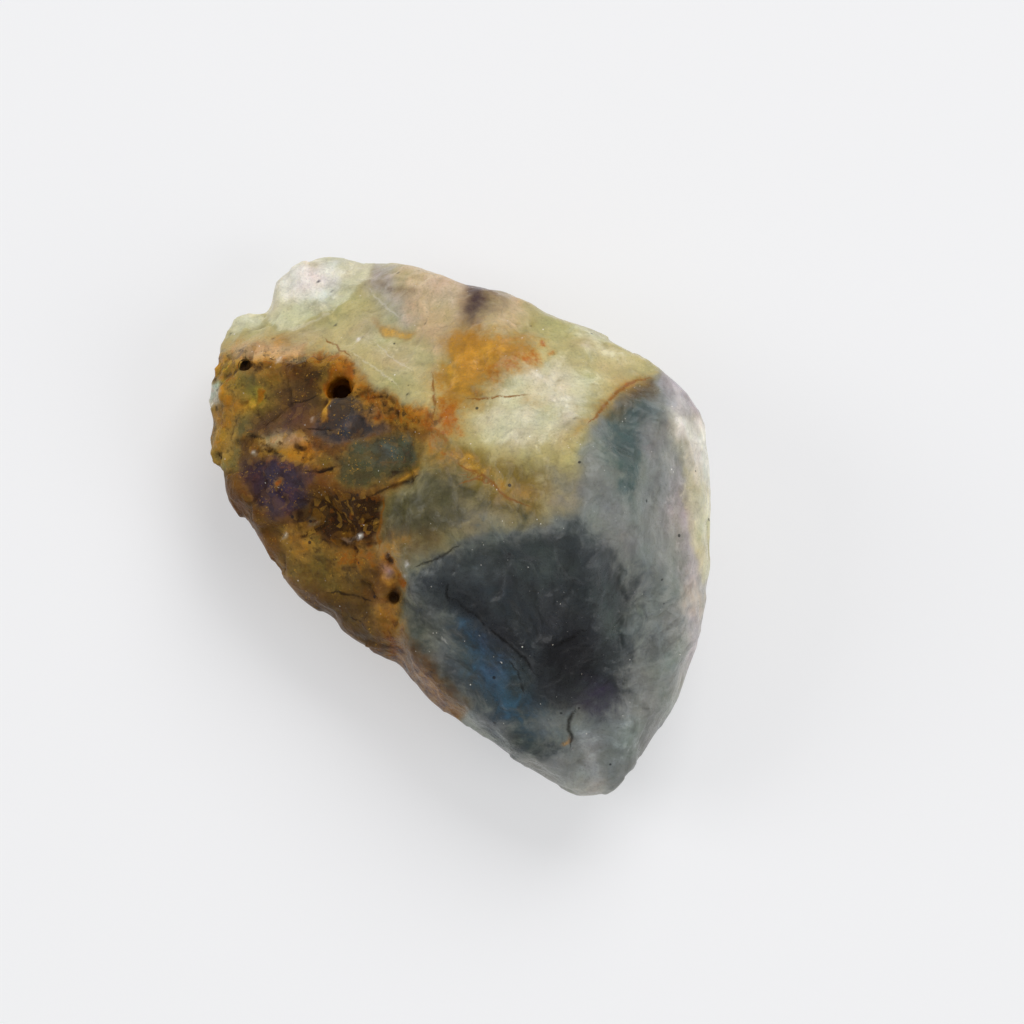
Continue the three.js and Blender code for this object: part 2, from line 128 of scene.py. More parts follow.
PALE_LOBES = {
    "lobe's edge": Field("cream", (
        (-15.6, 16.6), (-15.0, 20.6), (-12.0, 23.0), (-6.4, 23.0), (-7.0, 18.6), (-8.3, 16.8), (-10.0, 15.4),
        (-12.6, 14.1), (-14.0, 14.5)), 0.35, 0.9),
    # Partly the lobe's own clear colour, partly painted light shining through the thin lobe.
    "lobe's clear middle": Field("frost", (
        (-14.6, 17.0), (-14.2, 19.6), (-12.2, 20.6), (-9.4, 20.8), (-8.2, 18.8), (-9.6, 16.9),
        (-12.0, 16.0)), 0.9, 0.85),
    "small lobe": Field("cream", (
        (-18.4, 15.0), (-17.6, 16.4), (-15.6, 16.6), (-15.0, 15.6), (-16.2, 14.9), (-17.4, 14.3)), 0.5, 0.9),
    # Partly the lobe's own clear colour, partly painted light shining through the thin lobe.
    "small lobe's top": Spot("frost", (-16.4, 15.9), 0.8, 1.2, 0.5),
    "pane by the slot": Field("cream", (
        (-17.6, 14.3), (-14.6, 14.6), (-13.6, 13.6), (-15.0, 13.0), (-17.4, 13.2)), 0.7, 0.35),
    "pane under the lobe": Field("cream", (
        (-13.2, 13.6), (-11.2, 14.6), (-10.2, 14.0), (-10.8, 12.4), (-12.8, 12.5)), 0.5, 0.55),
    "grey veil": Field("lilac", (
        (-8.2, 21.0), (-6.4, 21.4), (-4.2, 17.6), (-2.8, 14.6), (-4.0, 13.6), (-6.0, 16.0),
        (-7.6, 18.6)), 1.1, 0.7),
    "grey streak in it": Field("clay", ((-7.4, 20.6), (-6.6, 20.4), (-5.4, 17.6), (-6.4, 17.4)), 0.8, 0.3),
    "pale slope": Field("cream", (
        (-7.6, 15.6), (-5.6, 14.6), (-2.4, 10.6), (-2.6, 8.6), (-5.0, 9.4), (-8.2, 13.0)), 1.2, 0.45),
    # Painted highlight on a small raised nub.
    "painted highlight on the nub": Spot("grain", (-7.8, 13.1), 0.2, 0.2, 0.9),
    "pink on the slope": Field("rose", ((-6.4, 12.6), (-3.6, 13.0), (-3.0, 9.4), (-4.8, 9.6)), 0.9, 0.45),
    "yellow by the slot": Field("gold", (
        (-17.8, 13.6), (-16.6, 14.2), (-16.0, 13.2), (-17.0, 12.6)), 0.7, 0.3),
    "gold crumbs under the lobe": Field("gold", (
        (-14.3, 13.9), (-13.4, 14.0), (-13.0, 13.2), (-14.0, 13.0)), 0.4, 0.6),
    "amber crumbs on the slope": Field("gold", (
        (-6.2, 14.4), (-5.6, 13.4), (-3.6, 12.4), (-3.2, 13.2), (-4.6, 14.0)), 0.3, 0.7),
}
PINK_BACK = {
    "pink slope": Field("rose", (
        (-4.8, 20.4), (0.0, 19.0), (5.4, 16.6), (4.6, 12.2), (2.0, 12.6), (-0.6, 11.4), (-2.2, 9.0),
        (-2.8, 12.0), (-4.6, 16.4)), 1.0, 0.75),
    "light in the pink": Field("frost", (
        (-3.4, 18.4), (-0.2, 17.0), (0.2, 14.6), (-1.6, 14.8), (-3.0, 16.6)), 1.0, 0.3),
    "plum mark": Field("plum", (
        (0.2, 19.4), (2.2, 19.4), (2.4, 16.6), (1.8, 13.4), (0.8, 13.4), (0.4, 15.6)), 1.0, 0.8),
    "plum shade": Field("clay", ((0.0, 19.4), (3.8, 18.8), (3.8, 15.6), (2.6, 14.2), (1.2, 14.2)), 1.0, 0.6),
    "plum edge": Field("plum", (
        (-1.6, 19.2), (0.6, 22.0), (5.0, 22.0), (5.0, 17.6), (3.6, 17.4), (0.8, 18.0),
        (-1.2, 18.2)), 0.5, 0.55),
    "plum smudge": Field("clay", (
        (-5.8, 17.6), (-4.4, 17.4), (-3.2, 16.6), (-4.2, 16.4), (-5.4, 16.9)), 0.6, 0.6),
}
PALE_MIDDLE = {
    "pale middle": Field("cream", (
        (3.0, 8.8), (4.6, 10.4), (7.4, 10.9), (10.6, 9.2), (9.8, 6.4), (8.2, 3.8), (5.0, 2.6), (2.0, 3.2),
        (0.9, 5.4), (2.2, 7.0)), 1.3, 0.85),
    "white in it": Field("frost", (
        (4.6, 9.4), (6.2, 10.4), (7.8, 9.6), (9.0, 7.0), (7.8, 5.8), (6.0, 7.4)), 1.0, 0.5),
    "white below it": Field("frost", ((2.4, 5.6), (5.6, 6.2), (7.6, 5.0), (5.6, 4.2), (3.2, 4.4)), 0.9, 0.12),
    "light upper right": Field("cream", ((7.0, 14.8), (11.0, 14.2), (12.8, 11.0), (9.6, 10.8)), 1.2, 0.7),
    "lilac upper right": Field("rose", ((10.0, 10.6), (13.0, 11.6), (12.0, 9.2), (10.6, 8.2)), 1.0, 0.4),
    "yellow in it": Field("honey", ((4.2, 7.6), (6.6, 7.3), (6.4, 6.2), (4.6, 6.4)), 0.8, 0.3),
    "yellow by the arch": Field("olive", ((7.8, 4.8), (9.4, 5.2), (9.8, 3.6), (8.4, 2.8)), 0.8, 0.4),
    "olive field": Field("olive", (
        (-1.9, 5.0), (-0.4, 3.9), (2.4, 2.7), (5.0, 2.0), (6.4, -0.4), (6.0, -2.3), (2.8, -1.4), (0.8, 0.0),
        (-1.6, 2.2)), 1.1, 0.92),
    "olive field, right part": Field("olive", (
        (5.0, 2.0), (8.6, 1.2), (8.7, -2.3), (6.0, -2.3), (6.2, -0.4)), 0.9, 0.35),
    "grey under it": Field("fog", ((6.0, 1.0), (8.8, 0.6), (8.8, -2.4), (6.0, -2.4)), 1.0, 0.6),
    "light corner": Field("silver", ((6.4, 1.4), (8.5, 0.8), (8.5, -2.0), (7.2, -1.4)), 0.7, 0.25),
    "orange stain": Field("honey", (
        (-1.2, 12.0), (0.8, 13.4), (3.0, 12.4), (5.9, 11.8), (5.0, 10.2), (2.6, 9.2), (1.6, 7.6), (0.4, 6.2),
        (-0.8, 5.0), (-2.3, 5.6), (-1.5, 7.4), (-2.2, 9.4), (-0.7, 10.6)), 1.6, 0.95),
    "orange core": Field("rust", (
        (-0.2, 11.6), (1.6, 12.0), (2.2, 9.6), (1.2, 7.4), (-0.6, 7.0), (-0.9, 9.2)), 1.3, 0.75),
    "rust clump": Field("rust", ((2.0, 9.5), (3.2, 9.2), (3.0, 8.7), (2.2, 8.6)), 0.25, 0.5),
    "gold in the orange": Field("gold", (
        (-0.9, 12.0), (2.4, 12.4), (5.2, 11.8), (2.6, 9.6), (1.0, 6.8), (-1.0, 6.6), (-1.4, 9.4)), 1.2, 0.7),
    "orange ray": Field("rust", (
        (1.6, 9.7), (4.0, 11.1), (6.2, 11.5), (6.2, 10.4), (3.8, 9.6), (2.0, 8.9)), 0.5, 0.65),
    "arch, lower blob": Field("rust", (
        (10.3, 6.1), (10.7, 7.1), (11.6, 8.0), (11.5, 7.3), (10.8, 6.3)), 0.3, 0.5),
    "arch, upper blob": Field("rust", (
        (11.9, 8.3), (12.5, 9.1), (13.7, 9.4), (13.5, 8.8), (12.5, 8.3)), 0.25, 0.6),
    "gold round the arch": Field("honey", (
        (8.2, 3.4), (9.4, 5.4), (11.6, 8.9), (14.8, 10.2), (14.2, 9.0), (12.0, 7.8), (10.4, 5.2)), 0.6, 0.45),
    "orange dot, high": Spot("rust", (6.5, 11.9), 0.25, 0.35, 0.9),
    "orange dot, low": Spot("rust", (7.0, 11.1), 0.25, 0.3, 0.9),
    "olive smudge": Spot("moss", (7.6, 4.8), 0.3, 0.35, 0.5),
    "olive fleck, right": Spot("olive", (9.8, 8.5), 0.12, 0.2, 0.6),
    "olive fleck, middle": Spot("olive", (7.5, 8.5), 0.1, 0.2, 0.5),
    "olive fleck, low": Spot("olive", (8.6, 6.2), 0.12, 0.2, 0.6),
    "olive halo of a speck": Spot("olive", (5.6, 13.6), 0.3, 0.5, 0.6),
    "orange at the crack's foot": Field("rust", (
        (-1.8, 6.8), (-0.2, 6.6), (0.4, 4.4), (-1.2, 4.0), (-1.9, 5.2)), 0.7, 0.8),
    "gold on the slope": Field("honey", (
        (-0.2, 2.5), (1.8, 2.0), (3.8, 0.3), (5.6, -0.8), (5.2, -1.6), (3.4, -0.6), (1.4, 1.2)), 0.45, 0.4),
    "shade below the gold": Field("moss", (
        (0.6, 0.4), (3.0, -0.6), (5.6, -1.6), (5.0, -2.8), (1.2, -1.2)), 0.7, 0.65),
    "crumbs on the slope": Field("gold", (
        (-0.4, 2.9), (1.0, 2.5), (2.4, 1.3), (1.8, 1.0), (0.4, 1.9), (-0.6, 2.4)), 0.25, 0.7),
}
SLOPE = {
    "olive slope": Field("moss", (
        (-5.6, 0.2), (-2.8, 1.4), (-1.6, 2.8), (0.6, 1.4), (1.0, -0.6), (2.0, -2.4), (-1.0, -3.2),
        (-3.6, -3.8), (-5.4, -4.0), (-5.8, -2.0)), 1.5, 0.85),
    "gold over the slope": Field("honey", (
        (-2.6, 3.8), (-1.2, 4.0), (0.4, 2.4), (-0.8, 1.6), (-2.4, 2.4)), 0.8, 0.4),
    "olive over it": Field("olive", (
        (-3.0, 4.0), (-1.0, 4.2), (0.6, 2.4), (-0.8, 1.4), (-2.6, 2.2)), 0.8, 0.6),
    "pale line of the recess": Field("olive", (
        (-5.4, 0.6), (-4.8, 0.4), (-4.9, -1.6), (-5.0, -3.6), (-5.8, -3.4), (-5.7, -1.4)), 0.35, 0.7),
    "orange over the knob": Field("rust", (
        (-4.6, -2.6), (-3.6, -2.8), (-3.5, -3.4), (-4.6, -3.5)), 0.4, 0.45),
    "its olive foot": Field("olive", (
        (-5.8, -2.4), (-4.0, -2.6), (-1.0, -2.6), (-1.2, -3.4), (-4.6, -4.2)), 0.9, 0.5),
    "brown in the foot": Field("clay", (
        (-5.6, -2.0), (-3.4, -2.4), (-1.6, -3.0), (-2.6, -4.2), (-5.0, -4.4)), 0.9, 0.6),
    "cloud": Field("silver", ((0.4, -1.2), (1.8, -1.2), (3.0, -2.4), (1.4, -2.7), (0.2, -2.1)), 0.7, 0.22),
}
DARK_BODY = {
    "pool": Field("sea", (
        (10.6, 1.6), (10.8, 4.6), (11.3, 6.4), (12.2, 7.6), (13.6, 8.2), (14.8, 8.3), (14.8, 6.4),
        (13.8, 2.4), (13.0, -0.8), (12.0, -0.8)), 1.1, 0.85),
    "deep of the pool": Field("storm", (
        (11.4, 5.4), (12.0, 7.4), (13.2, 7.4), (13.6, 5.0), (12.8, 2.6), (11.8, 3.2)), 1.0, 0.35),
    "brown top of it": Field("clay", (
        (11.8, 8.0), (13.4, 9.2), (15.0, 9.4), (14.9, 7.8), (12.8, 7.5)), 0.4, 0.7),
    "brown left of it": Field("clay", (
        (10.4, 5.6), (11.6, 7.6), (13.2, 8.6), (13.4, 7.2), (12.0, 5.4)), 0.8, 0.35),
    "olive round the top": Field("olive", (
        (10.4, 5.6), (11.6, 7.6), (13.4, 9.4), (15.0, 9.4), (14.6, 7.8), (12.6, 6.4),
        (11.8, 5.2)), 0.6, 0.65),
    # Partly the stone's own dark blue-green, partly painted shade of the thick middle, where little light
    # comes through.
    "dark field": Field("storm", (
        (-3.6, -5.2), (-1.2, -4.3), (1.2, -3.5), (4.2, -3.0), (8.6, -2.8), (11.2, -4.0), (12.8, -7.0),
        (13.4, -11.4), (12.6, -14.4), (10.8, -16.2), (8.6, -15.2), (5.2, -16.2), (2.4, -16.4), (0.2, -13.6),
        (-0.8, -9.0), (-2.8, -7.2)), 1.5, 0.97),
    "green right side of it": Field("sea", (
        (8.0, -2.8), (10.6, -3.6), (12.4, -8.0), (12.6, -13.0), (11.4, -12.0), (10.8, -9.4),
        (9.4, -6.2)), 1.4, 0.1),
    "shade of the flank": Field("storm", (
        (12.6, -4.0), (14.6, -5.0), (15.6, -8.6), (14.4, -12.0), (12.6, -9.0)), 1.2, 0.5),
    "haze, upper left": Field("silver", ((-1.6, -4.8), (2.8, -4.6), (3.6, -6.4), (0.4, -6.2)), 1.0, 0.16),
    "green haze in it": Field("sea", (
        (3.0, -3.4), (7.6, -3.2), (8.4, -6.6), (5.6, -8.2), (3.4, -6.0)), 1.4, 0.1),
    "bright speck in it": Field("silver", ((9.4, -5.4), (10.6, -4.6), (10.8, -5.4), (9.8, -6.0)), 0.5, 0.25),
    # Partly the stone's own near-black, partly painted shade of the thick middle, where little light comes
    # through.
    "black core": Field("night", (
        (5.2, -10.0), (9.4, -9.4), (10.8, -11.2), (10.2, -13.6), (7.6, -14.2), (5.8, -12.6)), 1.6, 0.95),
    "black crease": Field("night", (
        (-1.2, -6.2), (0.4, -7.0), (4.0, -10.0), (5.6, -12.6), (4.4, -12.0), (1.4, -9.6),
        (-0.8, -7.8)), 0.8, 0.7),
    "blue flash": Field("steel", (
        (-0.2, -8.6), (1.6, -10.0), (3.4, -12.0), (4.8, -13.8), (6.0, -15.4), (3.2, -16.0), (1.6, -13.6),
        (0.4, -11.4)), 1.6, 0.85),
    "violet in the blue": Field("violet", ((1.6, -10.4), (3.0, -11.6), (3.4, -13.0), (2.2, -12.6)), 1.0, 0.2),
    "teal in the blue": Field("sea", ((0.2, -10.6), (1.4, -11.4), (2.0, -13.4), (0.8, -12.6)), 0.8, 0.5),
    "grey left of the blue": Field("silver", (
        (-2.8, -7.4), (-1.2, -7.8), (0.0, -10.6), (0.8, -13.6), (-0.6, -14.0), (-2.0, -11.4)), 1.1, 0.1),
    "olive left margin": Field("moss", (
        (-4.6, -6.4), (-3.0, -7.2), (-2.2, -9.4), (-1.0, -12.6), (-0.2, -15.4), (-3.0, -13.6),
        (-5.0, -10.4)), 1.0, 0.8),
    "grey left margin": Field("storm", (
        (-4.4, -5.8), (-1.8, -6.6), (-0.6, -9.6), (0.6, -13.4), (-0.8, -14.0), (-3.0, -10.4)), 1.1, 0.55),
    "wisp in the dark": Field("sea", ((4.0, -5.2), (7.4, -4.4), (8.6, -5.6), (6.2, -6.8)), 0.8, 0.14),
    "second wisp in it": Field("sea", ((9.6, -7.4), (11.4, -7.0), (12.2, -10.4), (10.8, -10.6)), 0.9, 0.14),
    "low wisp in it": Field("steel", ((1.2, -6.4), (3.6, -6.8), (5.2, -8.6), (3.2, -8.4)), 0.8, 0.16),
    "amber lower rim": Field("honey", (
        (-5.2, -10.2), (-4.0, -10.6), (-1.6, -13.0), (0.4, -14.8), (-0.4, -16.4), (-5.0, -13.0)), 0.4, 0.8),
    "rust in the lower rim": Field("rust", (
        (-5.6, -9.0), (-3.8, -10.5), (-1.4, -12.9), (-0.6, -15.4), (-4.6, -13.0)), 0.4, 0.6),
    "dark rust in the lower rim": Field("bark", (
        (-6.2, -8.2), (-4.6, -8.8), (-1.2, -12.8), (0.6, -15.0), (-1.0, -16.6), (-6.6, -12.0)), 0.6, 0.68),
    "shade of the lower rim": Field("clay", (
        (-5.2, -9.8), (-4.0, -10.0), (-1.0, -12.8), (1.0, -14.6), (-0.4, -16.4), (-5.0, -13.0)), 0.6, 0.95),
    "cloud in the flank": Field("silver", (
        (11.8, -9.9), (13.2, -8.9), (13.8, -9.2), (12.8, -10.2)), 0.6, 0.45),
    "streak in the flank": Field("silver", (
        (13.0, -4.4), (13.7, -4.6), (14.8, -7.8), (15.8, -12.0), (15.0, -11.6), (13.9, -8.0)), 0.5, 0.28),
    "streak over it": Field("silver", (
        (14.3, 8.0), (14.9, 8.0), (14.3, 2.0), (13.7, -1.4), (13.3, -1.2)), 0.4, 0.3),
}
TIP = {
    "haze of the tip": Field("silver", (
        (8.2, -18.2), (9.0, -16.6), (13.0, -15.6), (14.0, -18.0), (9.0, -22.0)), 1.0, 0.55),
    "white end of the tip": Field("grain", (
        (8.6, -20.2), (10.8, -19.6), (11.4, -22.0), (8.6, -22.0)), 0.9, 0.35),
    # Painted highlight on a shiny facet of the tip.
    "painted highlight on a facet": Field("silver", (
        (5.0, -16.5), (6.6, -15.5), (8.5, -15.0), (8.0, -16.4), (7.3, -17.1)), 0.4, 0.28),
    "blue on the facet": Field("steel", (
        (4.0, -16.4), (6.6, -15.6), (8.3, -15.4), (7.8, -17.2), (5.0, -17.6)), 0.7, 0.35),
    "dark facet": Field("storm", (
        (2.4, -16.4), (4.8, -16.7), (7.6, -17.3), (7.9, -18.7), (6.0, -19.0), (2.6, -17.6)), 0.5, 0.65),
    "light streak": Field("silver", (
        (9.0, -16.8), (9.5, -17.2), (10.6, -20.0), (9.8, -20.2), (9.2, -18.4)), 0.5, 0.75),
    "dark by the streak": Field("storm", (
        (10.2, -17.0), (11.8, -16.8), (12.4, -18.4), (11.0, -19.4)), 0.7, 0.45),
    "violet shade": Field("violet", (
        (8.8, -13.8), (10.8, -13.6), (11.9, -15.2), (11.0, -16.6), (9.4, -15.6)), 1.0, 0.5),
    "gold at the crack's foot": Field("gold", (
        (7.5, -17.9), (8.1, -17.6), (8.3, -17.9), (7.8, -18.2)), 0.12, 0.45),
}
# The rim's pale colours are partly its own and partly painted light shining through the thin rim.
RIGHT_RIM = {
    "lilac corner": Field("lilac", (
        (15.1, 10.6), (18.6, 10.6), (18.6, 7.0), (16.4, 5.8), (15.2, 6.6)), 0.8, 0.9),
    "white corner": Field("frost", (
        (15.8, 6.8), (22.0, 7.4), (22.0, 1.6), (17.6, 1.8), (16.2, 3.6)), 0.7, 0.8),
    "grey rim": Field("lilac", (
        (15.2, 3.0), (22.0, 3.0), (22.0, -14.0), (16.6, -14.0), (16.2, -6.0), (15.4, -2.0)), 1.5, 0.75),
    "green-white rim": Field("cream", (
        (16.9, 2.6), (22.0, 3.0), (22.0, -5.4), (18.2, -5.2), (17.2, -2.2)), 0.6, 0.85),
    "yellow in it, high": Field("olive", (
        (16.4, 4.4), (17.6, 4.4), (18.8, 2.4), (17.6, 1.2), (16.8, 2.4)), 0.8, 0.35),
    "yellow in it, low": Field("olive", ((17.4, -1.8), (22.0, -1.4), (22.0, -4.4), (17.8, -4.2)), 0.8, 0.3),
    "pink in the rim": Spot("rose", (17.7, -7.0), 1.0, 1.2, 0.35),
    "dark notch in it": Spot("moss", (16.9, 4.6), 0.3, 0.7, 0.5),
}
RUST_FRINGE = {
    "fringe, left": Field("rust", (
        (-19.0, 12.6), (-16.8, 12.2), (-13.4, 12.1), (-12.8, 11.5), (-14.6, 11.0), (-16.6, 11.1),
        (-19.0, 11.4)), 0.4, 0.55),
    "gold corner": Field("gold", ((-19.2, 12.4), (-17.0, 12.2), (-16.9, 10.9), (-18.8, 10.6)), 0.4, 0.75),
    "white streak in the fringe": Field("grain", (
        (-13.9, 12.0), (-13.6, 12.3), (-13.7, 11.4), (-13.9, 11.2)), 0.1, 0.6),
    "shade in the fringe": Field("bark", (
        (-12.8, 11.2), (-11.4, 11.2), (-11.2, 10.7), (-12.8, 10.5)), 0.4, 0.3),
    "gold in the fringe": Field("gold", (
        (-17.4, 12.9), (-11.6, 12.9), (-11.8, 11.6), (-17.2, 11.5)), 0.5, 0.85),
    "pale in the fringe": Field("grain", (
        (-17.4, 13.0), (-11.6, 13.0), (-11.8, 12.0), (-17.2, 12.0)), 0.5, 0.3),
    "fringe, middle": Field("rust", (
        (-11.4, 11.9), (-10.2, 12.2), (-8.6, 11.3), (-7.9, 9.8), (-9.0, 10.2), (-11.4, 10.7)), 0.4, 0.75),
    "tan by the hole": Field("honey", (
        (-8.2, 10.8), (-7.0, 9.4), (-6.4, 8.2), (-7.8, 8.2), (-7.9, 9.6)), 0.4, 0.6),
    "crumbs over the hole": Field("gold", (
        (-10.3, 10.0), (-9.9, 10.6), (-8.6, 10.7), (-7.9, 10.1), (-8.1, 9.9), (-9.0, 10.3)), 0.2, 0.6),
    "fringe, low": Field("rust", (
        (-8.2, 9.2), (-6.2, 8.3), (-3.4, 6.8), (-1.8, 5.4), (-1.8, 4.4), (-3.6, 5.0), (-6.0, 6.5),
        (-7.6, 7.6)), 0.5, 0.7),
    "gold in it, low": Field("gold", ((-5.0, 7.2), (-3.2, 6.4), (-2.4, 5.4), (-3.6, 5.6)), 0.4, 0.5),
    "fringe, last": Field("rust", ((-2.4, 4.8), (-1.2, 4.2), (0.4, 2.4), (-0.6, 2.2), (-2.2, 3.6)), 0.4, 0.5),
    "amber over the fringe": Field("honey", (
        (-18.6, 13.8), (-13.4, 14.0), (-9.8, 12.6), (-12.6, 11.4), (-18.6, 11.8)), 1.0, 0.4),
}
